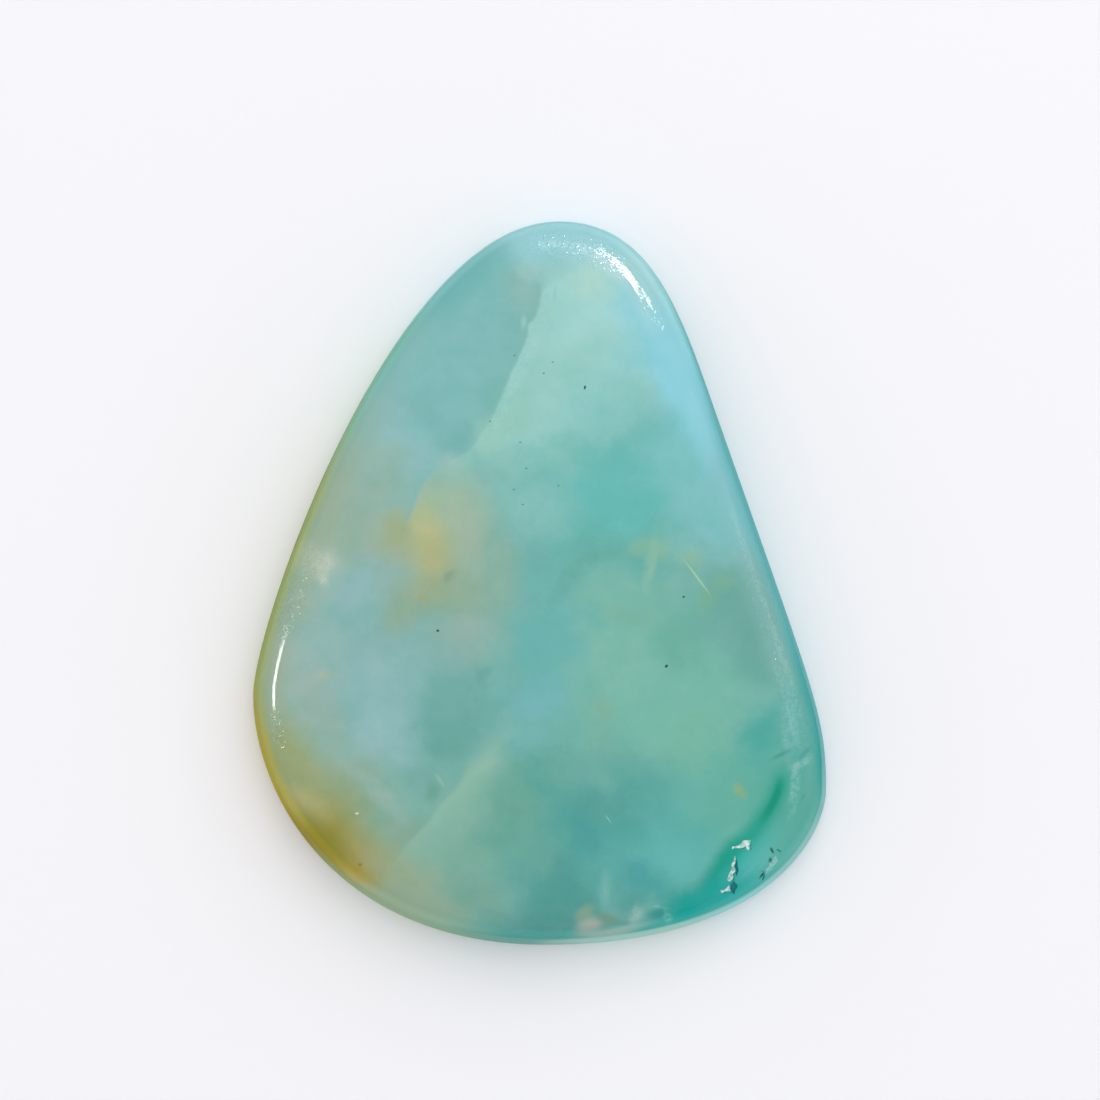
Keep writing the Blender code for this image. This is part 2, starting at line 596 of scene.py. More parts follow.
# %% [markdown]
# The material starts with the place on the stone, in millimetres. Depth pushes it to the side:
# the clouds run through the stone at a slant, so the back shows those of the front a little
# further on, where they come out there.

# %% Start the opal material
DEPTH_LEAN = (0.22, -0.16, 0.0)

opal_finish = bpy.data.materials.new("polished opal")
opal_finish.use_nodes = True
tree = opal_finish.node_tree
shader = tree.nodes["Principled BSDF"]

object_place = add(tree, "TexCoord").outputs["Object"]
in_mm = {0: object_place, "Scale": 1.0 / MM}
place = add(tree, "VectorMath", in_mm, operation="SCALE").outputs["Vector"]
height = measured_along(tree, place, (0.0, 0.0, 1.0))
depth = maths(tree, "SUBTRACT", THICKNESS, height)
leaning = {0: DEPTH_LEAN, "Scale": depth}
lean = add(tree, "VectorMath", leaning, operation="SCALE").outputs["Vector"]
deep_place = vector_maths(tree, "ADD", place, lean)
print("the clouds lean by", DEPTH_LEAN[:2], "mm for each mm of depth")

# %% [markdown]
# Real clouds aren't ellipses, so noise pushes the place about before a cloud measures it. A
# wide noise bends whole clouds and a fine one makes their edges wispy. Washes drift far, small
# marks hardly at all, so there is one drifted place for each kind.
#
# The finest marks lie just under the top. On the back their place is pushed off the stone, so
# that none of them shows there.

# %% Places that drift
WIDE_DRIFT_SIZE = 4.2
FINE_DRIFT_SIZE = 1.1
OFF_THE_STONE = (60.0, 0.0, 0.0)


def noise_of(size, detail, roughness):
    """The noise node for lumps of a size in mm. Its value lies round one half."""
    inputs = {"Vector": place, "Scale": 1.0 / size, "Detail": detail, "Roughness": roughness}
    return add(tree, "TexNoise", inputs)


def push(size, detail, roughness):
    """A noise as a push in all directions, each part between about -0.3 and 0.3."""
    pushes = noise_of(size, detail, roughness).outputs["Color"]
    return vector_maths(tree, "SUBTRACT", pushes, (0.5, 0.5, 0.5))


wide_push = push(WIDE_DRIFT_SIZE, detail=2.0, roughness=0.5)
fine_push = push(FINE_DRIFT_SIZE, detail=4.0, roughness=0.6)


def drifted(wide, fine):
    """The place pushed about by the wide noise and the fine one."""
    widely = {0: wide_push, 1: (wide,) * 3, 2: deep_place}
    moved = add(tree, "VectorMath", widely, operation="MULTIPLY_ADD").outputs["Vector"]
    finely = {0: fine_push, 1: (fine,) * 3, 2: moved}
    return add(tree, "VectorMath", finely, operation="MULTIPLY_ADD").outputs["Vector"]


wash_place = drifted(wide=5.0, fine=2.2)
cloud_place = drifted(wide=2.4, fine=1.6)
mark_place = drifted(wide=0.5, fine=0.7)
on_back = ramp(tree, height, nothing=0.08, full=0.02)
off_the_back = {0: on_back, 1: OFF_THE_STONE, 2: drifted(wide=0.0, fine=0.1)}
fine_place = add(tree, "VectorMath", off_the_back, operation="MULTIPLY_ADD").outputs["Vector"]
print("the places take", len(tree.nodes), "nodes")

# %% [markdown]
# Every marking is one line of a table. Its look is the screen colour that the finished stone
# should have there. Its mask says how strongly it covers each place.

# %% One cloud and its mask
class Cloud(NamedTuple):
    """A marking: its middle and half sizes in mm, its turn in degrees, its look and its edge."""

    name: str
    at: tuple
    half: tuple
    turn: float
    look: tuple
    strength: float = 1.0
    soft: float = 0.8


def cloud_mask(where, cloud):
    """How strongly a cloud or a patch covers each place, from 0 to its strength."""
    across, up = math.cos(math.radians(cloud.turn)), math.sin(math.radians(cloud.turn))
    inputs = {
        "Place": where,
        "Centre": (*cloud.at, 0.0),
        "Along": (across / cloud.half[0], up / cloud.half[0], 0.0),
        "Aside": (-up / cloud.half[1], across / cloud.half[1], 0.0),
        "Softness": cloud.soft,
        "Strength": cloud.strength,
    }
    node = add(tree, "Group", inputs, node_tree=SOFT_CLOUD)
    node.label = cloud.name
    return node.outputs["Mask"]


print("a cloud has", ", ".join(Cloud._fields))

# %% [markdown]
# `paint` lays a table of clouds over the colours so far, one after another, as a painter lays
# glazes. A crack or a noise may hold some markings back, so it also takes a mask to work
# through. `lay` does the same with a single look and any mask.

# %% Paint with clouds
BODY_COLOUR = (122, 178, 168)


def both(first, second):
    """A mask that lets through only what both masks let through."""
    return maths(tree, "MULTIPLY", first, second)


def mix_colours(factor, under, over):
    """One colour laid over another, as far as a mask lets it."""
    inputs = {0: factor, 6: under, 7: over}
    return add(tree, "Mix", inputs, data_type="RGBA").outputs[2]


def lay(under, mask, strength, look):
    """Lays one look over the colours so far, as far as a mask and a strength let it."""
    return mix_colours(both(mask, strength), under, under_gloss(look))


def paint(under, clouds, where, through=None):
    """Lays a table of clouds over the colours so far, one after another."""
    for cloud in clouds:
        mask = cloud_mask(where, cloud)
        if through is not None:
            mask = both(mask, through)
        under = mix_colours(mask, under, under_gloss(cloud.look))
    return under


colour = under_gloss(BODY_COLOUR)
print("the opal starts as", [round(part, 3) for part in colour[:3]])

# %% [markdown]
# ## Broad washes
#
# The widest clouds come first, because later and smaller ones lie over them. The stone is
# milky and pale at its tip, blue along the straight flank, deep teal in its heart and towards
# its foot, and grey with a breath of lavender on the round flank.

# %% The broad washes
BROAD_WASHES = (
    Cloud("milk under the tip", (2.4, 13.0), (5.4, 4.2), 80, (164, 212, 207)),
    Cloud("milk in the middle", (-0.6, 9.0), (4.0, 3.6), 60, (150, 202, 193)),
    Cloud("blue flank", (7.6, 9.6), (7.0, 2.1), -69, (139, 207, 218)),
    Cloud("teal heart", (4.0, 4.4), (3.8, 2.8), 20, (106, 185, 178)),
    Cloud("teal arc", (2.9, 1.0), (3.2, 1.5), 15, (103, 174, 164)),
    Cloud("aqua of the right flank", (9.6, 3.2), (3.0, 2.4), -60, (128, 191, 190)),
    Cloud("green of the belly", (6.4, -7.0), (6.0, 5.2), 0, (119, 183, 166)),
    Cloud("tan of the belly", (3.6, -3.0), (2.4, 3.2), 10, (126, 185, 168)),
    Cloud("teal of the middle", (0.4, -3.2), (2.0, 4.2), 0, (112, 179, 174)),
    Cloud("brown green by the flank", (10.4, -2.6), (2.8, 1.7), -50, (110, 168, 157)),
    Cloud("lavender flank", (-8.8, -5.4), (3.6, 3.8), 10, (140, 182, 179)),
    Cloud("beige of the round flank", (-8.6, 3.2), (2.9, 3.2), 60, (150, 178, 161)),
    Cloud("pale round flank", (-12.6, -4.6), (1.8, 3.4), 0, (154, 181, 170)),
    Cloud("green grey low flank", (-10.8, -9.9), (3.2, 2.0), -35, (144, 173, 149)),
    Cloud("dark teal cloud", (-3.9, -7.4), (1.8, 2.0), 0, (110, 169, 161)),
    Cloud("teal above the foot", (0.6, -11.6), (3.4, 2.2), 0, (105, 168, 154)),
    Cloud("deep teal of the foot", (3.2, -13.6), (4.6, 3.2), 10, (89, 163, 156)),
    Cloud("darkest foot", (1.8, -16.6), (2.6, 1.6), 0, (84, 155, 147)),
    Cloud("lighter foot", (7.2, -14.2), (3.0, 2.2), 30, (96, 176, 168)),
    Cloud("green by the corner", (10.6, -11.6), (2.6, 2.2), 0, (104, 177, 160), 0.9),
    Cloud("beige green of the foot", (-4.6, -14.6), (2.6, 3.8), -25, (126, 174, 157)),
)
colour = paint(colour, BROAD_WASHES, wash_place)
print(len(BROAD_WASHES), "broad washes")

# %% [markdown]
# ## The healed cracks
#
# Two old cracks cross the stone and have healed with slightly different opal on each side. A
# cloud can't show that, because a crack is crisp. Here a Float Curve holds how far the crack
# strays from the straight line between its ends, and the distance from that curve tells one
# side from the other.

# %% A crack as a curve
CRACK_SPAN = 4.0
cracked_place = drifted(wide=0.0, fine=0.28)


def across_crack(points):
    """How far along a crack (0 to 1) and how far across it (mm) each place lies."""
    start, end = Vector(points[0]), Vector(points[-1])
    along = (end - start).normalized()
    aside = Vector((-along.y, along.x))
    length = (end - start).length
    from_start = vector_maths(tree, "SUBTRACT", cracked_place, (*start, 0.0))
    share = measured_along(tree, from_start, (*(along / length), 0.0))
    across = measured_along(tree, from_start, (*aside, 0.0))
    bend = add(tree, "FloatCurve", {"Value": share})
    line = bend.mapping.curves[0].points
    shares = [((Vector(point) - start).dot(along)) / length for point in points]
    strays = [0.5 + (Vector(point) - start).dot(aside) / (2 * CRACK_SPAN) for point in points]
    for point in list(line)[2:]:
        line.remove(point)
    line[0].location = (shares[0], strays[0])
    line[1].location = (shares[-1], strays[-1])
    for where in zip(shares[1:-1], strays[1:-1]):
        line.new(*where)
    for point in line:
        point.handle_type = "AUTO_CLAMPED"
    bend.mapping.update()
    centred = maths(tree, "SUBTRACT", bend.outputs["Value"], 0.5)
    stray = maths(tree, "MULTIPLY", centred, 2 * CRACK_SPAN)
    return share, maths(tree, "SUBTRACT", across, stray)


def right_side(across, softening, crisp, soft):
    """1 right of a crack and 0 left of it, over an edge that widens from crisp to soft."""
    edge = maths(tree, "ADD", both(softening, soft - crisp), crisp)
    over_edge = maths(tree, "DIVIDE", across, edge)
    return ramp(tree, over_edge, nothing=-1.0, full=1.0)


def band(value, start, rise, fall, end):
    """1 between `rise` and `fall`, and 0 before `start` and after `end`."""
    return both(ramp(tree, value, start, rise), ramp(tree, value, end, fall))


print("a crack may stray", CRACK_SPAN, "mm to either side")

# %% [markdown]
# The upper crack is crisp along its length and dissolves above its upper end, where the milk
# of the tip has run across it. So the width of its edge grows there from a tenth of a
# millimetre to nearly two. The wedge on its left is smoother and greyer than the milk, darkest
# close to the crack.

# %% The upper crack
UPPER_CRACK = (
    (0.28, 15.25), (0.12, 14.4), (-0.05, 13.7), (-0.23, 13.3), (-0.5, 13.0), (-0.6, 12.5),
    (-0.75, 12.0), (-1.05, 11.25), (-1.5, 10.3), (-1.85, 9.45), (-2.2, 8.75), (-2.55, 8.05),
    (-3.05, 7.25), (-3.5, 6.6), (-4.1, 6.2), (-4.9, 5.7), (-5.5, 5.25), (-6.0, 4.65),
    (-6.3, 4.0), (-6.55, 3.2), (-6.9, 2.45), (-7.1, 1.75),
)
along_upper, across_upper = across_crack(UPPER_CRACK)
dissolved = ramp(tree, along_upper, nothing=0.05, full=-0.10)
right_of_crack = right_side(across_upper, dissolved, crisp=0.13, soft=1.9)
left_of_crack = maths(tree, "SUBTRACT", 1.0, right_of_crack)

WEDGE = Cloud("wedge", (-4.6, 9.8), (9.2, 5.2), 60, (130, 186, 183), 1.0, 0.35)
WEDGE_DARK_REACH = 2.0
WEDGE_DARK_LOOK = (125, 182, 176)
wedge = both(left_of_crack, cloud_mask(wash_place, WEDGE))
colour = mix_colours(wedge, colour, under_gloss(WEDGE.look))
near_crack = both(ramp(tree, across_upper, nothing=-WEDGE_DARK_REACH, full=0.0), wedge)
colour = mix_colours(near_crack, colour, under_gloss(WEDGE_DARK_LOOK))
print("upper crack through", len(UPPER_CRACK), "points")

# %% [markdown]
# The lower crack is the same kind of crack further down. It is crisp below and soft above. On
# its right the stone is a little paler and more beige, most of all close to the crack.

# %% The lower crack
LOWER_CRACK = (
    (-2.4, -8.4), (-2.75, -9.3), (-3.6, -10.1), (-4.4, -11.25), (-5.05, -11.95),
    (-5.55, -12.65), (-6.2, -13.4), (-6.85, -14.1), (-7.2, -14.7),
)
BEIGE_SIDE_LOOK = (134, 182, 165)
BEIGE_SIDE_STRENGTH = 0.75
along_lower, across_lower = across_crack(LOWER_CRACK)
lower_softening = ramp(tree, along_lower, nothing=0.50, full=0.0)
right_of_lower = right_side(across_lower, lower_softening, crisp=0.12, soft=0.82)
lower_ends = band(along_lower, start=-0.10, rise=0.12, fall=0.75, end=1.20)
beside_lower = both(right_of_lower, lower_ends)
beige_side = both(beside_lower, ramp(tree, across_lower, nothing=2.2, full=0.2))
colour = lay(colour, beige_side, BEIGE_SIDE_STRENGTH, BEIGE_SIDE_LOOK)
print("lower crack through", len(LOWER_CRACK), "points")

# %% [markdown]
# ## Clouds
#
# The next layer has clouds of one to three millimetres. They give the stone its depth, and
# each is only a little lighter or darker than what lies round it. They are painted from the
# tip down to the foot. The last is a plume that ends at the lower crack.

# %% Clouds of the tip and the wedge
TIP_CLOUDS = (
    Cloud("brown breath in the wedge", (-0.7, 14.6), (0.9, 1.6), 0, (142, 184, 174), 0.7),
    Cloud("teal band of the wedge", (-5.6, 13.2), (3.6, 0.9), 56, (122, 185, 182), 0.8),
    Cloud("green edge of the milk", (-1.7, 7.8), (1.7, 1.1), 60, (149, 198, 182), 0.75),
    Cloud("straw milk", (2.8, 15.1), (1.0, 0.9), 0, (176, 214, 199), 0.6),
    Cloud("brown under the tip", (0.1, 16.0), (0.9, 0.7), 0, (157, 199, 193), 0.8),
    Cloud("blue of the tip", (1.0, 17.4), (3.2, 1.1), 0, (154, 207, 213), 0.9),
    Cloud("aqua pool", (-0.4, 3.4), (1.9, 1.2), 10, (132, 190, 183)),
    Cloud("neck of the teal heart", (3.0, 8.8), (2.2, 1.3), 20, (135, 197, 191), 0.6),
    Cloud("milk beside the heart", (1.7, 6.3), (1.1, 1.1), 0, (130, 191, 181), 0.6),
    Cloud("light aqua beside the heart", (6.4, 6.2), (1.3, 1.5), -60, (127, 194, 193), 0.7),
    Cloud("dark teal in the wedge", (-4.3, 7.6), (1.1, 0.9), 30, (118, 178, 174), 0.8),
    Cloud("dark stroke in the wedge", (-5.6, 8.5), (1.7, 0.4), -32, (126, 180, 178), 0.7),
    Cloud("grey blue of the wedge", (-8.0, 8.4), (1.1, 1.3), 60, (145, 186, 185), 0.8),
    Cloud("pale blue under the wedge", (-6.3, 6.0), (1.5, 0.9), 60, (142, 188, 187), 0.7),
    Cloud("grey green of the flank top", (-8.3, 6.0), (1.3, 0.9), 30, (149, 186, 177), 0.8),
)
colour = paint(colour, TIP_CLOUDS, cloud_place)
print(len(TIP_CLOUDS), "clouds in the upper half")

# %% Clouds of the round flank
FLANK_CLOUDS = (
    Cloud("tan left of the crack", (-7.8, 1.4), (1.2, 1.6), 0, (152, 175, 156), 0.85),
    Cloud("green beige by the rim", (-12.4, -1.7), (0.9, 1.4), 0, (149, 177, 158), 0.8),
    Cloud("green grey by the patch", (-8.0, 4.6), (1.8, 1.6), 10, (147, 180, 166), 0.85),
    Cloud("beige by the patch", (-9.9, 2.4), (1.9, 1.6), 60, (153, 177, 157), 0.8),
    Cloud("blue grey pool", (-9.2, -0.5), (1.5, 0.9), 20, (145, 184, 185), 0.9),
    Cloud("beige under the tuft", (-11.4, -0.9), (1.0, 0.8), 0, (158, 183, 169), 0.7),
    Cloud("pale aqua of the flank", (-11.0, -3.6), (1.3, 1.5), 0, (147, 184, 179), 0.8),
    Cloud("green of the flank", (-8.3, -3.2), (1.3, 0.9), 20, (131, 176, 172), 0.8),
    Cloud("lavender plume", (-7.7, -7.0), (2.2, 1.7), 85, (143, 186, 185), 0.8),
    Cloud("grey pink of the flank", (-12.0, -6.6), (1.2, 0.9), 0, (152, 179, 170), 0.6),
    Cloud("dark arc on the cloud", (-2.9, -5.1), (0.7, 0.3), -30, (106, 165, 157), 0.7),
    Cloud("pale cloud over the arc", (-4.1, -3.2), (1.5, 1.3), 0, (148, 178, 167), 0.8),
    Cloud("dark teal by the crack", (-5.8, -10.4), (0.9, 1.0), 0, (115, 169, 159), 0.8),
    Cloud("dark heart of the cloud", (-4.6, -8.6), (0.9, 0.9), 0, (106, 165, 154), 0.7),
)
colour = paint(colour, FLANK_CLOUDS, cloud_place)
print(len(FLANK_CLOUDS), "clouds on the round flank")

# %% Clouds of the middle
MIDDLE_CLOUDS = (
    Cloud("blue of the middle", (-0.2, -6.6), (1.5, 1.3), 0, (116, 180, 182), 0.8),
    Cloud("blue over the crack", (-0.7, -8.8), (1.3, 0.9), 20, (118, 181, 176), 0.8),
    Cloud("pale blue at the crack's top", (-2.0, -8.1), (0.8, 0.8), 0, (130, 185, 178), 0.8),
    Cloud("blue drop", (-0.8, -3.2), (0.8, 0.8), 0, (109, 178, 175), 0.6),
    Cloud("tan drop", (3.2, -7.6), (0.7, 1.3), 0, (126, 178, 161), 0.6),
    Cloud("grey by the drop", (2.8, -9.6), (1.3, 1.0), 0, (112, 171, 160), 0.6),
    Cloud("green drop", (8.0, -8.6), (1.9, 1.4), 0, (120, 183, 160), 0.7),
    Cloud("mint of the belly", (7.2, -3.3), (1.0, 1.4), 20, (106, 174, 156), 0.8),
    Cloud("dark teal by the flank", (9.8, -1.9), (1.0, 0.8), -40, (110, 170, 158), 0.7),
    Cloud("teal of the flank", (11.8, -8.6), (1.6, 1.1), 60, (76, 167, 157), 0.8),
)
colour = paint(colour, MIDDLE_CLOUDS, cloud_place)
print(len(MIDDLE_CLOUDS), "clouds in the middle")

# %% Clouds of the foot
FOOT_CLOUDS = (
    Cloud("light teal in the foot", (6.9, -14.5), (1.5, 1.1), 20, (102, 180, 173), 0.8),
    Cloud("teal pit in the foot", (2.4, -13.4), (0.9, 1.4), 10, (82, 159, 155), 0.7),
    Cloud("teal streak in the foot", (5.4, -15.7), (0.8, 1.0), 0, (80, 155, 157), 0.7),
    Cloud("green breath in the foot", (-1.4, -12.4), (1.0, 1.4), 0, (110, 168, 148), 0.6),
    Cloud("green of the low foot", (-1.8, -13.9), (1.2, 1.4), 0, (102, 164, 149), 0.7),
    Cloud("green by the low foot", (0.3, -14.2), (1.1, 1.6), 0, (108, 169, 153), 0.7),
    Cloud("dark teal by the streak", (6.3, -16.2), (0.8, 0.7), 0, (78, 162, 156), 0.8),
    Cloud("emerald by the foot", (7.8, -16.9), (1.0, 0.7), 30, (56, 160, 147), 0.9),
)
CRACK_PLUME = (
    Cloud("plume beside the lower crack", (-3.3, -10.7), (1.9, 0.8), 72, (141, 184, 166), 0.7, 0.9),
)
colour = paint(colour, FOOT_CLOUDS, cloud_place)
colour = paint(colour, CRACK_PLUME, cloud_place, through=right_of_lower)
print(len(FOOT_CLOUDS), "clouds in the foot, and one plume")

# %% [markdown]
# ## The arc
#
# Where the teal heart meets the belly a darker line bends through the stone, like the rim of a
# shell. It is an ellipse again, but only a band of it is painted: the mask of a wide cloud,
# taken between two of its levels, and of that only the upper left stretch. A patch is a cloud
# without a look of its own, used as a mask alone.

# %% The dark arc
class Patch(NamedTuple):
    """A soft place without a look: middle and half sizes in mm, turn, strength and softness."""

    name: str
    at: tuple
    half: tuple
    turn: float
    strength: float
    soft: float


ARC = Patch("arc", (4.9, -2.6), (4.6, 3.9), 0, 1.0, 0.9)
ARC_SIDE = Patch("upper left of the arc", (1.6, 1.4), (3.0, 2.0), 30, 0.75, 0.6)
ARC_LOOK = (104, 169, 158)
arc_line = band(cloud_mask(cloud_place, ARC), start=0.36, rise=0.46, fall=0.50, end=0.62)
arc = both(arc_line, cloud_mask(cloud_place, ARC_SIDE))
colour = mix_colours(arc, colour, under_gloss(ARC_LOOK))
print("the arc lies", ARC.half, "mm from", ARC.at)

# %% [markdown]
# ## Iron stains
#
# Water that carried iron has stained the stone yellow and olive. The clearest stain is a patch
# that ends at the upper crack. It lies wholly on the right of the crack, so it is painted
# through that side's mask.

# %% The yellow patch
YELLOW_PATCH = (
    Cloud("straw halo", (-5.1, 3.4), (2.0, 1.7), 20, (162, 189, 161), 0.8, 0.8),
    Cloud("pink halo", (-4.0, 1.4), (1.5, 2.3), 0, (162, 182, 159), 0.8, 0.8),
    Cloud("yellow patch", (-5.8, 1.55), (1.9, 0.95), 100, (178, 184, 136), 0.9, 0.8),
    Cloud("yellow edge", (-6.3, 2.4), (0.9, 0.6), 50, (177, 187, 143), 0.6, 0.8),
    Cloud("yellow tail", (-5.2, 0.3), (1.4, 0.85), 84, (166, 176, 133), 0.85, 0.8),
    Cloud("orange heart of the patch", (-5.6, 1.4), (0.9, 0.5), 100, (180, 178, 132), 0.5, 0.9),
)
colour = paint(colour, YELLOW_PATCH, mark_place, through=right_of_crack)
print(len(YELLOW_PATCH), "clouds in the yellow patch")

# %% [markdown]
# Fainter stains lie round the patch, on both sides of the crack. A few streaks and spots of
# them have got as far as the belly and the flanks.

# %% Stains round the patch
PATCH_STAINS = (
    Cloud("olive left of the crack", (-7.3, 2.2), (0.8, 1.0), 0, (158, 173, 132), 0.85, 0.9),
    Cloud("olive under the patch", (-5.6, -0.9), (1.7, 0.9), 10, (152, 171, 138), 0.85),
    Cloud("olive tail", (-7.0, -2.0), (1.1, 0.8), 60, (144, 172, 147), 0.8),
    Cloud("milk under the end of the crack", (-4.7, 5.9), (0.7, 0.5), 20, (158, 193, 182), 0.6),
    Cloud("dull spot", (-4.55, 0.0), (0.30, 0.26), 20, (124, 148, 130), 0.7),
    Cloud("green under the patch", (-3.7, -1.0), (1.5, 1.2), 0, (140, 172, 148), 0.8),
    Cloud("beige edge of the stain", (-2.0, 0.3), (0.9, 1.7), 0, (141, 178, 161), 0.8),
)
colour = paint(colour, PATCH_STAINS, mark_place)
print(len(PATCH_STAINS), "stains round the patch")

# %% Faint streaks and spots
FAINT_STREAKS = (
    Cloud("smear", (5.75, 0.9), (1.3, 0.30), 80, (142, 190, 165), 0.7, 0.7),
    Cloud("yellow by the smear", (5.3, 1.6), (0.6, 0.4), 20, (138, 182, 152), 0.6, 1.0),
    Cloud("yellow above the smear", (6.4, 1.4), (0.4, 0.5), 0, (144, 185, 155), 0.6, 1.0),
    Cloud("yellow over the line", (7.9, 0.9), (0.6, 0.4), -30, (142, 185, 152), 0.6, 1.0),
    Cloud("brown under the line", (8.7, -1.3), (0.6, 0.4), 50, (120, 174, 142), 0.6, 1.0),
    Cloud("brown at the flank", (9.7, -0.4), (0.6, 0.4), 0, (122, 176, 146), 0.6),
    Cloud("faint brown in the belly", (4.6, -2.0), (1.1, 0.4), -20, (128, 178, 158), 0.6),
    Cloud("brown by the tan drop", (3.4, -7.0), (0.5, 0.5), 0, (134, 178, 154), 0.6),
    Cloud("peach spot", (-11.1, -5.2), (0.38, 0.28), 10, (164, 184, 166), 0.8),
)
colour = paint(colour, FAINT_STREAKS, mark_place)
print(len(FAINT_STREAKS), "faint streaks and spots")

# %% [markdown]
# Low on the round flank the stain is deepest: olive and ochre in its middle, peach and straw
# round it, with two pale streaks above. Further down the foot has small spots of its own, some
# stained and some of clean deep teal.

# %% The stain low on the left
LOW_STAIN = (
    Cloud("yellow of the low flank", (-12.7, -9.8), (2.6, 1.2), -64, (157, 167, 117), 0.9),
    Cloud("olive fringe", (-10.3, -12.6), (2.5, 1.6), -42, (151, 162, 116), 0.95),
    Cloud("olive stain", (-11.0, -13.6), (2.3, 1.35), -42, (148, 145, 72)),
    Cloud("deep olive", (-10.9, -13.9), (1.4, 0.65), -42, (144, 138, 58)),
    Cloud("peach by the stain", (-12.0, -12.0), (1.3, 0.75), -40, (175, 176, 126), 0.85),
    Cloud("pale streak, low left", (-9.0, -10.6), (1.9, 0.40), -44, (155, 183, 169), 0.6, 0.9),
    Cloud("straw by the lower crack", (-6.8, -13.3), (1.0, 0.8), 0, (143, 167, 142), 0.6),
    Cloud("second pale streak", (-8.0, -11.5), (1.6, 0.35), -46, (148, 180, 168), 0.6, 0.9),
    Cloud("straw of the low flank", (-8.7, -15.5), (1.9, 1.4), -30, (164, 156, 92), 0.95),
    Cloud("beige of the low flank", (-7.0, -16.0), (2.0, 1.4), -20, (152, 170, 140), 0.8),
)
colour = paint(colour, LOW_STAIN, mark_place)
print(len(LOW_STAIN), "clouds in the low stain")

# %% Spots of the foot
FOOT_SPOTS = (
    Cloud("deep teal of the lowest foot", (0.6, -17.9), (2.2, 0.9), 0, (84, 153, 146), 0.7),
    Cloud("deep spot over the scratch", (3.2, -11.7), (1.0, 0.7), 0, (84, 155, 147), 0.6),
    Cloud("teal beside the blob", (4.9, -17.0), (0.7, 0.4), 20, (84, 158, 150), 0.7),
    Cloud("pale streak at the foot", (3.6, -16.4), (0.8, 0.28), 88, (120, 180, 172), 0.7, 0.9),
    Cloud("pale blob at the foot", (5.25, -17.8), (0.6, 0.3), 84, (150, 190, 176), 0.6, 0.8),
    Cloud("pink of the low flank", (-7.2, -17.0), (1.6, 0.7), -20, (151, 171, 142), 0.8),
    Cloud("olive of the lowest flank", (-3.1, -16.7), (1.6, 0.9), -10, (117, 163, 145), 0.7),
    Cloud("orange fleck", (10.5, -11.2), (0.40, 0.17), -42, (148, 174, 128), 0.8, 0.9),
)
colour = paint(colour, FOOT_SPOTS, mark_place)
print(len(FOOT_SPOTS), "spots in the foot")

# %% [markdown]
# ## The emerald vein
#
# The crystal corner is the greenest part of the stone, and a vein of strong green runs into
# it. The vein is a crack too, so it is measured in the same way, but it is painted as a band
# on both sides of its line. Only its upper end has the dark core. Lower down the green spreads
# out to the left of the crystals.

# %% Green of the crystal corner
CORNER_CLOUDS = (
    Cloud("green of the corner", (12.9, -12.0), (2.6, 1.5), 72, (84, 168, 152), 0.9),
    Cloud("emerald by the crystals", (9.65, -15.5), (1.9, 0.72), 60, (0, 150, 132), 1.0, 0.7),
    Cloud("turquoise corner", (11.1, -15.0), (1.9, 0.9), 50, (26, 174, 162), 0.9),
    Cloud("teal by the rim", (12.9, -14.1), (1.6, 0.6), 55, (86, 174, 160), 0.9),
)
colour = paint(colour, CORNER_CLOUDS, mark_place)
print(len(CORNER_CLOUDS), "clouds in the crystal corner")

# %% The vein
VEIN = (
    (12.85, -10.3), (12.65, -10.8), (12.48, -11.3), (12.24, -11.9), (11.80, -12.6), (11.25, -13.3),
    (10.3, -14.2), (9.6, -15.1), (9.0, -16.2), (7.9, -17.1),
)
VEIN_GLOW_LOOK = (28, 158, 136)
VEIN_GLOW_STRENGTH = 0.8
VEIN_CORE_LOOK = (18, 146, 118)
VEIN_CORE_STRENGTH = 0.9
along_vein, across_vein = across_crack(VEIN)
off_vein = maths(tree, "ABSOLUTE", across_vein)
glow_length = band(along_vein, start=-0.08, rise=0.10, fall=0.55, end=0.95)
glow = both(ramp(tree, off_vein, nothing=0.85, full=0.05), glow_length)
core_length = band(along_vein, start=0.0, rise=0.14, fall=0.22, end=0.38)
core = both(ramp(tree, off_vein, nothing=0.36, full=0.04), core_length)
colour = lay(colour, glow, VEIN_GLOW_STRENGTH, VEIN_GLOW_LOOK)
colour = lay(colour, core, VEIN_CORE_STRENGTH, VEIN_CORE_LOOK)
print("vein through", len(VEIN), "points")

# %% [markdown]
# ## Mist
#
# Between the clouds the opal is never quite even. A fine mist of two tints multiplies all the
# colours so far. In its hollows they come out a little darker and greener, and in its lumps a
# little paler.

# %% The mist
MIST_SIZE = 2.0
MIST_DEEP = (0.88, 0.96, 0.945, 1.0)
MIST_PALE = (1.12, 1.04, 1.055, 1.0)


def multiplied(under, factor, tint):
    """The colours so far multiplied by a tint, as far as a mask or a number lets it."""
    inputs = {0: factor, 6: under, 7: tint}
    return add(tree, "Mix", inputs, data_type="RGBA", blend_type="MULTIPLY").outputs[2]


mist = noise_of(MIST_SIZE, detail=5.0, roughness=0.66).outputs["Fac"]
mist_tint = mix_colours(ramp(tree, mist, nothing=0.2, full=0.8), MIST_DEEP, MIST_PALE)
colour = multiplied(colour, 1.0, mist_tint)
print("mist in lumps of about", MIST_SIZE, "mm")

# %% [markdown]
# ## Pale wisps
#
# Some marks are broken up into fine white threads, such as the tuft on the left shoulder and
# the veils in the lower right corner. All of them are painted through one fine noise, so they
# look like the same frosty opal. Under the tuft lies a soft cloud that isn't broken up.

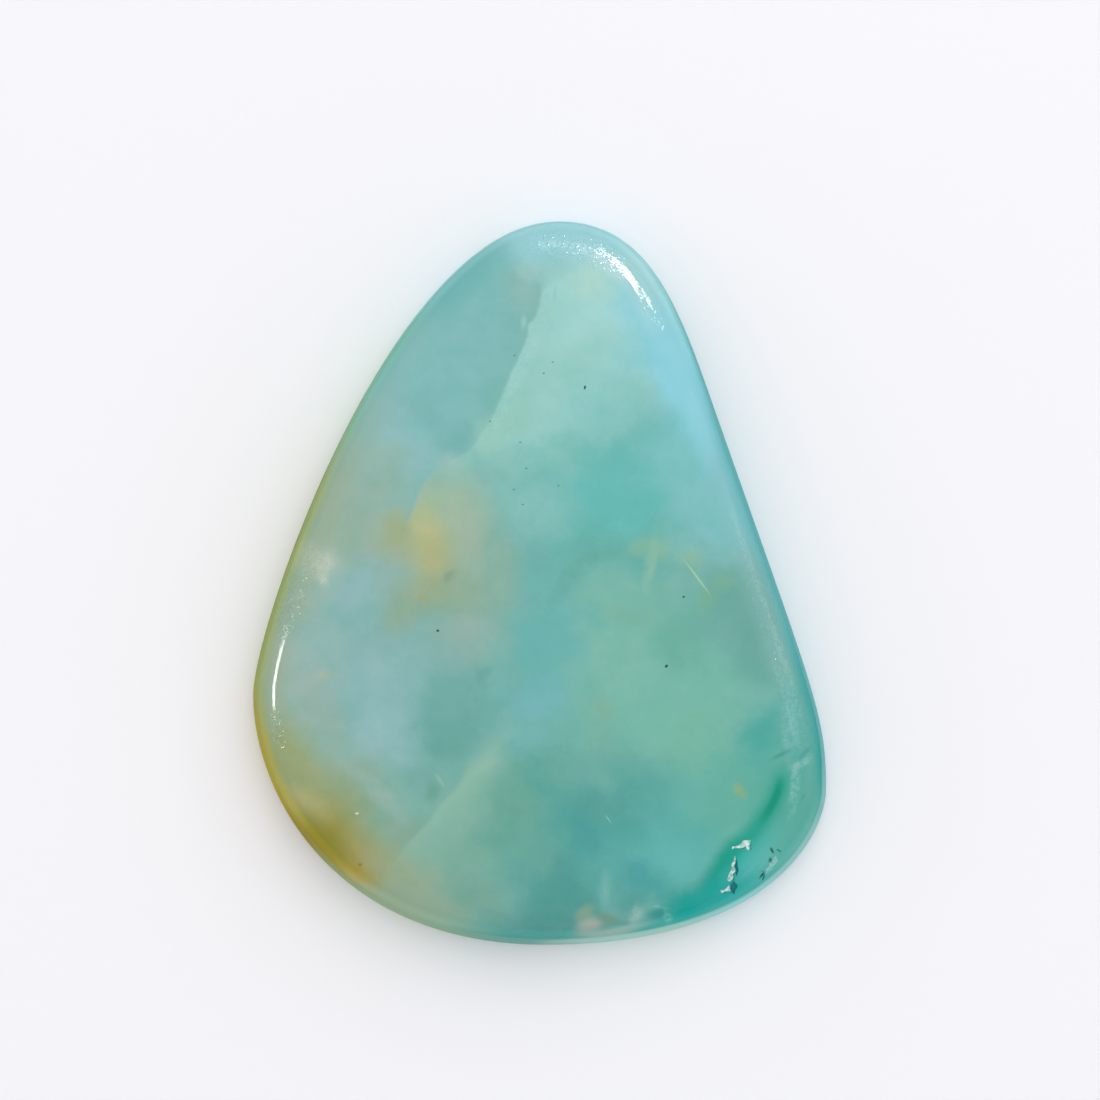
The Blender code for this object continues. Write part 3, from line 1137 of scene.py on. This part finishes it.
# %% The wisps
WISP_SIZE = 0.38
wisp_noise = noise_of(WISP_SIZE, detail=6.0, roughness=0.8).outputs["Fac"]
wisps = ramp(tree, wisp_noise, nothing=0.38, full=0.64)
SOFT_TUFT = (
    Cloud("soft tuft", (-11.55, 0.85), (1.15, 0.8), -25, (186, 200, 184), 0.7, 0.8),
    Cloud("soft tail of the tuft", (-11.2, 0.0), (0.5, 0.3), -60, (178, 196, 178), 0.5, 0.8),
)
WHITE_WISPS = (
    Cloud("tuft on the shoulder", (-11.65, 0.95), (1.0, 0.65), -25, (218, 220, 206), 0.9, 0.6),
    Cloud("tail of the tuft", (-11.2, 0.0), (0.55, 0.30), -60, (196, 208, 192), 0.8, 0.6),
    Cloud("root of the tuft", (-11.9, 1.3), (0.5, 0.35), 60, (205, 212, 196), 0.7, 0.6),
    Cloud("white veil, high", (13.2, -7.6), (1.7, 0.34), 86, (156, 200, 204), 0.65, 0.7),
    Cloud("white veil, middle", (13.75, -9.8), (0.65, 0.24), 25, (168, 208, 200), 0.85, 0.7),
    Cloud("white veil, low", (13.4, -11.4), (1.4, 0.26), 84, (158, 204, 196), 0.7, 0.7),
    Cloud("white at the foot", (5.25, -17.7), (0.6, 0.22), 82, (168, 202, 190), 0.35, 0.7),
    Cloud("white by the emerald", (7.0, -17.85), (0.5, 0.18), 110, (170, 218, 208), 1.0, 0.7),
    Cloud("white over the emerald", (6.7, -17.3), (0.5, 0.07), -6, (150, 204, 196), 0.7, 0.7),
)
colour = paint(colour, SOFT_TUFT, mark_place)
colour = paint(colour, WHITE_WISPS, mark_place, through=wisps)
print(len(WHITE_WISPS), "wisps")

# %% [markdown]
# A light seam runs along the right side of both cracks, where the opal that healed them is
# palest. The upper seam is frosty like the wisps, and the lower one is even.

# %% The seams beside the cracks
SEAM_REACH = 1.1
UPPER_SEAM_LOOK = (174, 216, 204)
UPPER_SEAM_STRENGTH = 0.4
LOWER_SEAM_LOOK = (148, 191, 171)
LOWER_SEAM_STRENGTH = 0.4
seam_width = band(across_upper, start=0.02, rise=0.18, fall=0.35, end=SEAM_REACH)
seam_length = band(along_upper, start=0.03, rise=0.1, fall=0.5, end=0.62)
upper_seam = both(both(seam_width, seam_length), wisps)
colour = lay(colour, upper_seam, UPPER_SEAM_STRENGTH, UPPER_SEAM_LOOK)
lower_seam = both(beside_lower, ramp(tree, across_lower, nothing=SEAM_REACH, full=0.15))
colour = lay(colour, lower_seam, LOWER_SEAM_STRENGTH, LOWER_SEAM_LOOK)
print("the seams fade out", SEAM_REACH, "mm from their cracks")

# %% [markdown]
# ## Small marks
#
# Thin lines, streaks, specks of black mineral, a few orange grains and a white dot lie just
# under the top. They are crisp, so their place drifts by only a few hundredths of a
# millimetre. On the back that place is off the stone, and none of them shows.

# %% Fine lines and streaks
FINE_LINES = (
    Cloud("thin yellow line", (8.2, -0.1), (0.95, 0.05), -53, (164, 203, 168), 0.9, 0.6),
    Cloud("pale tag by the crack", (-0.72, 13.15), (0.30, 0.13), 80, (158, 207, 198), 0.6, 0.9),
    Cloud("tongue beside the crack", (0.92, 14.6), (0.45, 0.09), 82, (148, 195, 188), 0.6, 0.7),
    Cloud("dark spot by the crack", (-5.4, -11.2), (0.50, 0.34), 75, (108, 162, 143), 0.8),
    Cloud("pale tag by the spot", (-5.05, -10.6), (0.34, 0.09), 125, (146, 188, 170), 0.7, 0.7),
    Cloud("short dark streak", (12.68, -9.32), (0.55, 0.10), 27, (56, 150, 134), 0.6, 0.9),
    Cloud("dark streak by the rim", (14.0, -9.35), (0.42, 0.11), 40, (56, 150, 142), 0.8, 0.9),
    Cloud("green speck", (13.95, -11.6), (0.20, 0.07), 55, (62, 142, 92), 0.85, 0.7),
    Cloud("white scratch", (3.65, -12.6), (0.22, 0.035), -55, (140, 196, 190), 0.7, 0.7),
    Cloud("pale streak by the crystals", (11.0, -15.5), (0.75, 0.10), 42, (132, 202, 198), 0.6, 0.9),
    Cloud("pale streak by the slit", (11.9, -15.1), (0.6, 0.12), 60, (124, 190, 182), 0.6, 0.9),
    Cloud("pale streak along the foot", (9.3, -16.95), (0.9, 0.09), 28, (118, 198, 190), 0.6, 0.9),
    Cloud("pale streak in the corner", (13.45, -10.3), (0.35, 0.14), 60, (166, 208, 202), 0.4, 0.9),
)
colour = paint(colour, FINE_LINES, fine_place)
print(len(FINE_LINES), "fine lines and streaks")

# %% Small marks of the foot
FOOT_MARKS = (
    Cloud("pink at the foot", (2.9, -18.3), (0.60, 0.55), 0, (168, 180, 166), 0.95, 0.7),
    Cloud("brown at the foot", (2.5, -17.5), (0.5, 0.3), 40, (142, 168, 138), 0.7, 0.8),
    Cloud("brown beside the pink", (3.8, -17.85), (0.6, 0.24), -18, (118, 148, 122), 0.6, 0.8),
    Cloud("pale pink at the rim", (4.8, -18.5), (1.2, 0.2), 12, (176, 204, 192), 0.85, 0.7),
    Cloud("dark hollow at the foot", (6.4, -17.6), (0.50, 0.30), 10, (56, 146, 140), 0.8, 0.7),
    Cloud("emerald hollow", (7.95, -17.15), (0.40, 0.45), 20, (24, 152, 138), 0.7, 0.8),
)
colour = paint(colour, FOOT_MARKS, fine_place)
print(len(FOOT_MARKS), "small marks in the foot")

# %% [markdown]
# Most specks differ in size and colour, so each is a line of the table. The faint ones in the
# upper half of the stone are all alike and need only a list of places.

# %% Specks and grains
SPECKS = (
    Cloud("black speck", (2.41, 9.76), (0.10, 0.05), 80, (38, 72, 70), 1.0, 0.5),
    Cloud("black speck", (-5.20, -2.85), (0.07, 0.06), 0, (38, 72, 70), 1.0, 0.5),
    Cloud("black speck", (7.50, -1.10), (0.06, 0.05), 0, (38, 72, 70), 1.0, 0.5),
    Cloud("black speck", (6.60, -4.70), (0.09, 0.06), 40, (38, 72, 70), 1.0, 0.5),
    Cloud("brown speck", (-9.02, -15.05), (0.09, 0.07), 0, (96, 92, 30), 0.9, 0.6),
    Cloud("orange grain", (-6.05, -1.12), (0.12, 0.09), 0, (178, 164, 86), 0.85),
    Cloud("orange grain", (-9.15, -15.35), (0.22, 0.15), 20, (168, 146, 62), 0.8),
    Cloud("orange grain", (-8.85, -15.95), (0.30, 0.12), -20, (176, 152, 66), 0.85),
    Cloud("white dot", (-9.25, -12.35), (0.08, 0.05), 0, (216, 228, 214), 0.9, 0.7),
)
FAINT_SPECK_LOOK = (84, 122, 110)
FAINT_SPECK_HALF = (0.055, 0.04)
FAINT_SPECKS_AT = (
    (0.28, 10.5), (0.75, 11.05), (-2.51, 8.0), (-1.22, 11.4), (-2.30, 17.1), (-0.96, 6.9),
    (-0.65, 5.55), (1.00, 4.67), (-1.30, 4.46), (-0.85, 3.7),
)
faint_specks = [
    Cloud("faint speck", at, FAINT_SPECK_HALF, 0, FAINT_SPECK_LOOK, 0.8, 0.6) for at in FAINT_SPECKS_AT
]
colour = paint(colour, SPECKS, fine_place)
colour = paint(colour, faint_specks, fine_place)
print(len(SPECKS) + len(faint_specks), "specks and grains")

# %% [markdown]
# ## The edge
#
# Near its edge the stone shows what lies at its rim: iron has crept in all along the round
# flank and left an olive rind, and the straight flank ends in a line of deeper teal. The
# `inset` that every point remembers says how near the edge it is. Three tables of tints follow
# it outwards, over the shoulder, along the edge and down the wall.

# %% Tints of the shoulder
inset = add(tree, "Attribute", attribute_name="inset").outputs["Fac"]
SHOULDER_TINTS = (
    Cloud("pale shoulder, left", (-11.2, 3.6), (6.0, 2.4), 66, (156, 175, 149), 0.75, 0.5),
    Cloud("beige shoulder, left", (-14.0, -5.5), (3.5, 1.2), 85, (161, 176, 146), 0.7, 0.5),
    Cloud("olive shoulder, low left", (-11.2, -14.0), (2.3, 1.1), -46, (144, 139, 60), 0.85, 0.6),
    Cloud("ochre shoulder, low left", (-8.9, -15.9), (1.1, 0.7), -38, (168, 153, 66), 0.8, 0.6),
    Cloud("pale shoulder, upper left", (-7.6, 10.8), (4.6, 3.0), 58, (136, 184, 180), 0.6, 0.5),
    Cloud("teal shoulder, tip left", (-3.8, 15.9), (3.0, 2.0), 50, (114, 180, 176), 0.9, 0.5),
    # the opal is milky at the tip; near the key light this tint also carries a painted sheen, the haze
    # round the highlight
    Cloud("milky shoulder and painted sheen, upper right", (4.6, 16.2), (3.6, 3.0), -45, (164, 209, 207), 0.8, 0.5),
    # the next two are painted sheen: the haze round and below the key light's highlight
    Cloud("painted sheen around the key light", (3.5, 16.2), (1.3, 0.45), -45, (216, 232, 232), 0.9, 0.8),
    Cloud("painted sheen below the key light", (5.5, 13.4), (1.0, 0.5), -62, (178, 220, 222), 0.7, 0.8),
    Cloud("blue shoulder, flank", (8.2, 9.8), (4.8, 1.9), -70, (144, 206, 215), 0.7, 0.5),
    Cloud("aqua shoulder, flank", (10.6, 3.2), (3.4, 1.7), -70, (132, 191, 193), 0.7, 0.5),
    Cloud("grey shoulder, right", (11.6, -2.0), (3.6, 1.5), -72, (129, 177, 172), 0.75, 0.5),
    Cloud("blue shoulder, tip", (1.8, 18.4), (3.6, 2.2), -10, (151, 204, 209), 0.9, 0.5),
    Cloud("straw shoulder, bottom left", (-6.0, -17.6), (2.8, 1.5), -24, (151, 176, 150), 0.7, 0.5),
    Cloud("cyan shoulder, bottom right", (11.9, -15.2), (2.4, 1.6), 42, (106, 190, 184), 0.75, 0.6),
    Cloud("green shoulder, corner", (13.3, -12.8), (2.2, 1.3), 62, (94, 172, 158), 0.7, 0.6),
    Cloud("teal shoulder, foot", (9.2, -17.0), (2.6, 1.2), 30, (38, 166, 157), 0.8, 0.6),
    Cloud("green shoulder, right", (13.2, -8.0), (2.4, 1.2), -85, (90, 170, 162), 0.7, 0.5),
)
near_shoulder = band(inset, start=0.2, rise=0.8, fall=1.2, end=2.6)
colour = paint(colour, SHOULDER_TINTS, mark_place, through=near_shoulder)
print(len(SHOULDER_TINTS), "tints on the shoulder")

# %% Tints of the edge
EDGE_TINTS = (
    Cloud("green edge, upper left", (-8.6, 10.4), (5.6, 3.0), 60, (108, 174, 154), 0.8, 0.5),
    Cloud("teal edge, tip left", (-3.8, 15.9), (3.0, 2.0), 50, (118, 182, 180), 0.9, 0.5),
    Cloud("blue edge, tip", (1.0, 18.6), (4.4, 1.6), -8, (136, 191, 196), 0.8, 0.5),
    Cloud("olive edge, left", (-13.0, -1.0), (9.0, 3.4), 78, (143, 162, 97), 0.95, 0.5),
    Cloud("yellow edge, low left", (-12.8, -11.6), (4.8, 3.2), -60, (162, 160, 72), 0.95, 0.5),
    Cloud("olive edge, corner", (-11.3, -14.3), (1.7, 0.9), -45, (136, 127, 36), 0.9, 0.6),
    Cloud("green edge, bottom left", (-5.0, -18.0), (3.8, 2.0), -20, (134, 168, 140), 0.6, 0.5),
    Cloud("deep teal edge, bottom", (1.6, -19.0), (5.2, 2.0), 5, (60, 150, 144), 0.85, 0.5),
    Cloud("pink edge at the foot", (4.0, -18.65), (1.5, 0.45), 8, (154, 180, 166), 0.7, 0.5),
    Cloud("deep cyan edge, low right", (9.6, -17.2), (4.2, 2.2), 30, (38, 162, 154), 0.8, 0.6),
    Cloud("grey green edge, corner", (13.8, -12.6), (3.0, 1.5), 62, (90, 168, 154), 0.8, 0.6),
    Cloud("deep green edge, right", (14.6, -7.6), (4.3, 1.7), -82, (40, 147, 138), 0.95, 0.5),
    Cloud("deep teal edge, flank", (11.6, 1.6), (9.6, 3.0), -70, (76, 158, 161), 0.8, 0.5),
)
near_edge = ramp(tree, inset, nothing=1.0, full=0.3)
colour = paint(colour, EDGE_TINTS, mark_place, through=near_edge)
print(len(EDGE_TINTS), "tints along the edge")

# %% [markdown]
# From above the wall is only a thin line, seen at a glancing angle, and light comes through
# the thin edge of the stone there. The wall's tints are painted light: stronger and lighter than
# the opal's own colour, they stand for that glow and lift the shade that the steep wall gets.
# They drift as far as the clouds do, so that they blend into each other.

# %% Tints of the wall
WALL_TINTS = (
    Cloud("wall, tip", (2.0, 18.6), (7.7, 4.6), -15, (157, 214, 220), 1.0, 0.7),
    Cloud("wall, upper left", (-7.6, 11.4), (8.9, 3.4), 58, (118, 186, 160), 1.0, 0.7),
    Cloud("wall, tip left", (-3.8, 15.9), (3.6, 2.3), 50, (126, 192, 192), 1.0, 0.7),
    Cloud("wall, left", (-13.0, 1.0), (10.1, 3.4), 74, (136, 158, 86), 1.0, 0.7),
    Cloud("wall, low left", (-13.0, -11.8), (6.7, 3.9), -58, (162, 156, 50), 1.0, 0.7),
    Cloud("wall, olive corner", (-10.4, -14.9), (3.0, 2.0), -45, (140, 132, 32), 1.0, 0.7),
    Cloud("wall, bottom left", (-5.4, -18.4), (5.5, 2.5), -22, (136, 170, 133), 1.0, 0.7),
    Cloud("wall, bottom", (1.0, -19.2), (4.8, 2.3), 0, (104, 162, 150), 1.0, 0.7),
    Cloud("wall, pink at the foot", (3.6, -18.9), (2.0, 0.9), 5, (172, 186, 166), 0.8, 0.7),
    Cloud("wall, low right", (10.4, -17.0), (8.4, 3.9), 36, (134, 204, 203), 1.0, 0.7),
    Cloud("wall, bottom right", (6.6, -18.6), (3.1, 1.6), 15, (148, 198, 184), 0.9, 0.7),
    Cloud("wall, right", (15.0, -8.6), (6.7, 3.0), 88, (112, 176, 176), 1.0, 0.7),
    Cloud("wall, corner", (13.9, -13.0), (2.4, 1.3), 62, (152, 202, 196), 0.9, 0.6),
    Cloud("wall, flank", (11.4, 2.6), (12.5, 3.4), -70, (82, 168, 170), 1.0, 0.7),
)
on_wall = ramp(tree, inset, nothing=0.36, full=0.18)
# the wall tints are painted light: glow through the thin edge, and a lift against the wall's shade
colour = paint(colour, WALL_TINTS, cloud_place, through=on_wall)
print(len(WALL_TINTS), "tints on the wall")

# %% [markdown]
# Light that comes through the thin edge makes it glow. A shader that lets light through the
# stone would show that too, but it is slow and its colours are hard to steer. So the outermost
# millimetre is multiplied by a tint brighter than white instead.

# %% Light in the edge
EDGE_LIGHT = (1.38, 1.28, 1.28, 1.0)
lit_edge = ramp(tree, inset, nothing=0.95, full=0.35)
colour = multiplied(colour, lit_edge, EDGE_LIGHT)
print("the edge is multiplied by", EDGE_LIGHT[:3])

# %% [markdown]
# ## The crystals in the pits
#
# The crystals are sugary: white grains with grey-green gaps. Their walls on the lower right
# are broken opal in deep shade, and that shade is painted, as is the shade in the bare hollows.
# Both are painted by the numbers that the pits left on the mesh, so the colour sits exactly in
# the hollows.

# %% Paint the crust and its shade
SHADE_LOOK = (42, 122, 127)
SHADE_STRENGTH = 0.9
GRAIN_LOOK = (222, 236, 230)
GAP_LOOK = (140, 192, 182)
GRAIN_SIZE = 0.18
crust = add(tree, "Attribute", attribute_name="crust").outputs["Fac"]
shade = add(tree, "Attribute", attribute_name="shade").outputs["Fac"]
# painted shade: dark teal on the pits' lower right walls and in the bare hollows
colour = lay(colour, ramp(tree, shade, nothing=0.25, full=0.8), SHADE_STRENGTH, SHADE_LOOK)
grain_noise = noise_of(GRAIN_SIZE, detail=2.0, roughness=0.5).outputs["Fac"]
grains = ramp(tree, grain_noise, nothing=0.35, full=0.62)
sugar = mix_colours(grains, under_gloss(GAP_LOOK), under_gloss(GRAIN_LOOK))
colour = mix_colours(ramp(tree, crust, nothing=0.3, full=0.7), colour, sugar)
print("crystal grains of about", GRAIN_SIZE, "mm")

# %% [markdown]
# The slit and the pin holes are so small that their own shade isn't dark enough, so each also
# gets a dark stroke of painted shade. The place of the fine marks leans with depth, and the
# corner is over a millimetre lower than the crown. In the table the strokes therefore lie a few
# tenths of a millimetre down to the right of their pits.

# %% Dark strokes in the slit and the pin holes
# each stroke is painted shade in a slit or pin hole
DARK_STROKES = (
    Cloud("black slit", (11.95, -15.71), (0.20, 0.07), 62, (12, 66, 54), 0.9, 0.7),
    Cloud("black pin above", (12.30, -14.32), (0.14, 0.07), -60, (30, 92, 74), 0.85, 0.7),
    Cloud("black pin beside", (12.68, -14.34), (0.06, 0.05), 0, (30, 92, 74), 0.85, 0.7),
    Cloud("black pin between", (12.25, -14.86), (0.13, 0.05), 80, (36, 100, 88), 0.8, 0.7),
)
colour = paint(colour, DARK_STROKES, fine_place)
tree.links.new(colour, shader.inputs["Base Color"])
print(len(DARK_STROKES), "dark strokes")

# %% [markdown]
# ## The polish
#
# Opal takes a glassy polish. How strongly it mirrors is set by two plain numbers on the
# shader's own sockets. The specular level is lower than usual, so that the white room doesn't
# lay a pale veil over the deep colours, and the lamps are brighter to keep the highlights.

# %% The gloss
OPAL_IOR = 1.46
GLOSS_LEVEL = 0.2
shader.inputs["IOR"].default_value = OPAL_IOR
shader.inputs["Specular IOR Level"].default_value = GLOSS_LEVEL
print("polish with an IOR of", OPAL_IOR, "and a specular level of", GLOSS_LEVEL)

# %% [markdown]
# Opal is soft, so felt leaves a faint orange peel on the shoulder, where it presses hardest.
# It is strongest in a few patches, and there it breaks up the ends of the highlights. It is
# far too fine for the mesh, so a Bump node gives the polish its slopes instead.

# %% How strong the orange peel is
PEEL_SIZE = 0.20
PEEL_ON_TOP = 0.012
PEEL_ON_SHOULDER = 0.05
PEEL_PATCHES = (
    Patch("peel left of the key light", (1.6, 17.1), (2.6, 0.9), -14, 1.0, 0.5),
    Patch("peel across the key light", (3.2, 16.7), (1.3, 0.8), -45, 0.7, 0.6),
    Patch("peel below the key light", (6.0, 13.9), (1.0, 0.6), -60, 0.45, 0.5),
    Patch("peel over the strip", (-12.6, -1.0), (2.4, 0.8), 68, 1.0, 0.4),
    Patch("peel under the strip", (-13.5, -7.9), (0.9, 0.45), -80, 0.9, 0.4),
    Patch("peel of the right flank", (12.4, -3.4), (6.5, 0.9), -72, 0.5, 0.5),
)


def strongest(*values):
    """At each place the highest of several values or masks."""
    highest = values[0]
    for value in values[1:]:
        highest = maths(tree, "MAXIMUM", highest, value)
    return highest


on_patches = [cloud_mask(place, patch) for patch in PEEL_PATCHES]
on_shoulder = ramp(tree, inset, nothing=3.4, full=1.8)
shoulder_peel = both(strongest(PEEL_ON_SHOULDER, *on_patches), on_shoulder)
peel_share = strongest(shoulder_peel, PEEL_ON_TOP)
peel_noise = noise_of(PEEL_SIZE, detail=1.0, roughness=0.5).outputs["Fac"]
peel = both(ramp(tree, peel_noise, nothing=0.48, full=0.72), peel_share)
print(len(PEEL_PATCHES), "patches of orange peel")

# %% [markdown]
# The flat back was only ground, and has fine parallel lines from the grinding wheel. A noise
# that reads a single number makes them: how far a place lies in the direction of `GRIND_LINES`,
# whose length says how close the lines are.

# %% Grinding lines, and the bump of both
GRIND_LINES = (0.9, 5.2, 0.0)
GRIND_SHARE = 0.25
RELIEF_HEIGHT = 0.025
line_inputs = {"W": measured_along(tree, place, GRIND_LINES), "Scale": 1.0, "Detail": 3.0}
lines = add(tree, "TexNoise", line_inputs, noise_dimensions="1D").outputs["Fac"]
relief = maths(tree, "ADD", peel, both(both(lines, on_back), GRIND_SHARE))
bump_inputs = {"Height": relief, "Distance": RELIEF_HEIGHT * MM, "Strength": 1.0}
bump = add(tree, "Bump", bump_inputs)
tree.links.new(bump.outputs["Normal"], shader.inputs["Normal"])
print("a relief of 1 is", RELIEF_HEIGHT, "mm high")

# %% [markdown]
# Roughness starts at that of the polish, and three things add to it: the broken face of the
# crystals, the satin back, and the wall, where the felt has pressed least and left it dull.

# %% How rough each part is
POLISH_ROUGHNESS = 0.055
CRUST_ROUGHNESS = 0.4
BACK_ROUGHNESS = 0.22
WALL_ROUGHNESS = 0.5
rough_crust = both(ramp(tree, crust, nothing=0.2, full=0.6), CRUST_ROUGHNESS)
rough_back = both(on_back, BACK_ROUGHNESS)
rough_wall = both(ramp(tree, inset, nothing=0.50, full=0.20), WALL_ROUGHNESS)
unpolished = strongest(rough_crust, rough_back, rough_wall)
roughness = maths(tree, "ADD", POLISH_ROUGHNESS, unpolished)
tree.links.new(roughness, shader.inputs["Roughness"])
print("material has", len(tree.nodes), "nodes")

# %% [markdown]
# The finished mesh gets its material and smooth shading, and goes into the frame. It rides on
# the one body of the model and takes the place of the plain CAD stone.

# %% Put the stone in the frame
def finished_stone(bm):
    """The stone as an object of the scene, with its material and smooth shading."""
    mesh = bpy.data.meshes.new("polished_opal")
    bm.to_mesh(mesh)
    bm.free()
    mesh.materials.append(opal_finish)
    mesh.shade_smooth()
    piece = bpy.data.objects.new("polished_opal", mesh)
    bpy.context.scene.collection.objects.link(piece)
    return piece


opal = finished_stone(stone)
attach(opal, "root")
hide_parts("opal_cabochon")
print(opal.name, "with", len(opal.data.polygons), "faces")

# %% [markdown]
# ## The studio
#
# The stone lies on a wide sheet of white card, a hair below the stone's back so that the two
# faces don't share a plane. The card is left out of reflections, because the wall would
# otherwise mirror it as one flat white.

# %% The card under the stone
FLOOR_HALF = 1.5
FLOOR_DROP = 0.02
CARD_COLOUR = (0.89, 0.88, 0.90, 1.0)
CARD_ROUGHNESS = 0.9


def studio_floor():
    """A square of white card on the stage."""
    bm = bmesh.new()
    bmesh.ops.create_grid(bm, x_segments=1, y_segments=1, size=FLOOR_HALF)
    bmesh.ops.translate(bm, verts=bm.verts, vec=(0.0, 0.0, -FLOOR_DROP * MM))
    mesh = bpy.data.meshes.new("studio_floor")
    bm.to_mesh(mesh)
    bm.free()
    card = bpy.data.materials.new("white card")
    card.use_nodes = True
    card_shader = card.node_tree.nodes["Principled BSDF"]
    card_shader.inputs["Base Color"].default_value = CARD_COLOUR
    card_shader.inputs["Roughness"].default_value = CARD_ROUGHNESS
    mesh.materials.append(card)
    floor = bpy.data.objects.new("studio_floor", mesh)
    bpy.context.scene.collection.objects.link(floor)
    floor.visible_glossy = False
    return floor


floor = studio_floor()
print("a card", 2 * FLOOR_HALF, "m wide")

# %% [markdown]
# The camera looks almost straight down through a long lens from far away, so that the stone
# keeps its true outline. The distance follows from how wide the picture is in millimetres.

# %% The camera
LENS_MM = 200.0
SENSOR_MM = 36.0
VIEW_WIDTH = 57.63
CAMERA_TILT_DEG = 4.0
AIM = Vector((0.55, 1.66, 0.35)) * MM


def place_camera():
    """The camera of the scene, above the stone and tilted a little."""
    data = bpy.data.cameras.new("camera")
    data.lens = LENS_MM
    data.sensor_width = SENSOR_MM
    camera = bpy.data.objects.new("camera", data)
    distance = VIEW_WIDTH * LENS_MM / SENSOR_MM * MM
    tilt = math.radians(CAMERA_TILT_DEG)
    camera.location = AIM + distance * Vector((0.0, -math.sin(tilt), math.cos(tilt)))
    camera.rotation_euler = (tilt, 0.0, 0.0)
    bpy.context.scene.collection.objects.link(camera)
    return camera


camera = place_camera()
bpy.context.scene.camera = camera
print("camera", round((camera.location - AIM).length, 3), "m from the stone")

# %% [markdown]
# A polished dome mirrors the room, so the lamps are first of all shapes in its polish. Each
# pane is described as the stone sees it: its bearing and height in degrees, its distance in
# metres, and how wide and tall it looks in degrees. Turned round the stone by one number, the
# key and the strip were brought to where the two long highlights lie.
#
# The mirrored panes show only in the polish, and one wide pane overhead adds its light to the
# colours alone. A pane's glow is how bright it looks, and the power of its lamp is worked out
# from that and from its size.

# %% Panes of light
class Pane(NamedTuple):
    """A pane of light: angles in degrees, distance in m, glow, and if the polish mirrors it."""

    name: str
    bearing: float
    height: float
    away: float
    wide: float
    tall: float
    glow: float
    mirrored: bool = True


PANES = (
    Pane("key", 54.5, 28.0, 0.40, 20.5, 16.0, 52.0),
    Pane("side pane", 38.5, 21.0, 0.40, 2.5, 8.0, 52.0),
    Pane("window", 84.0, 36.0, 0.40, 22.0, 16.0, 6.2),
    Pane("strip", 176.0, 24.5, 0.40, 16.0, 10.0, 48.0),
    Pane("fill", 16.0, 13.0, 0.45, 12.0, 16.0, 2.6),
    Pane("low fill", 8.0, 31.0, 0.45, 10.0, 20.0, 3.0),
    Pane("overhead", 70.0, 58.0, 0.50, 40.0, 40.0, 1.3, mirrored=False),
)


def hang_pane(pane):
    """An area lamp that faces the stone from the pane's direction."""
    data = bpy.data.lights.new(pane.name, "AREA")
    data.shape = "RECTANGLE"
    data.size = 2 * pane.away * math.tan(math.radians(pane.wide / 2))
    data.size_y = 2 * pane.away * math.tan(math.radians(pane.tall / 2))
    data.energy = pane.glow * data.size * data.size_y * math.pi
    lamp = bpy.data.objects.new(pane.name, data)
    turn, lift = math.radians(pane.bearing), math.radians(pane.height)
    level = math.cos(lift)
    towards = Vector((math.cos(turn) * level, math.sin(turn) * level, math.sin(lift)))
    lamp.location = towards * pane.away
    lamp.rotation_mode = "QUATERNION"
    lamp.rotation_quaternion = towards.to_track_quat("Z", "Y")
    lamp.visible_camera = False
    lamp.visible_diffuse = not pane.mirrored
    lamp.visible_glossy = pane.mirrored
    bpy.context.scene.collection.objects.link(lamp)


for pane in PANES:
    hang_pane(pane)
print(len(PANES), "panes of light")

# %% [markdown]
# The rest of the room is a white world. Below the horizon it is dim, which shows only in
# reflections, because the card hides it from the camera. So the wall and the lower shoulder
# mirror something darker, and their colours stay deep.

# %% The white room
ROOM_COLOUR = (0.98, 0.98, 1.0, 1.0)
ROOM_LEVEL = 0.88
DIM_LEVEL = 0.20
HORIZON_BLUR = 0.1


def studio_world():
    """A world that is white above the horizon and dim below it."""
    room = bpy.data.worlds.new("studio")
    room.use_nodes = True
    room_tree = room.node_tree
    direction = add(room_tree, "TexCoord").outputs["Generated"]
    up = add(room_tree, "SeparateXYZ", {"Vector": direction}).outputs["Z"]
    rising = {
        "Value": up,
        "From Min": -HORIZON_BLUR,
        "From Max": HORIZON_BLUR,
        "To Min": DIM_LEVEL,
        "To Max": ROOM_LEVEL,
    }
    level = add(room_tree, "MapRange", rising).outputs["Result"]
    background = room_tree.nodes["Background"]
    background.inputs["Color"].default_value = ROOM_COLOUR
    room_tree.links.new(level, background.inputs["Strength"])
    return room


bpy.context.scene.world = studio_world()
bpy.context.scene.view_settings.view_transform = "Standard"
print("room", ROOM_LEVEL, "bright above and", DIM_LEVEL, "below")
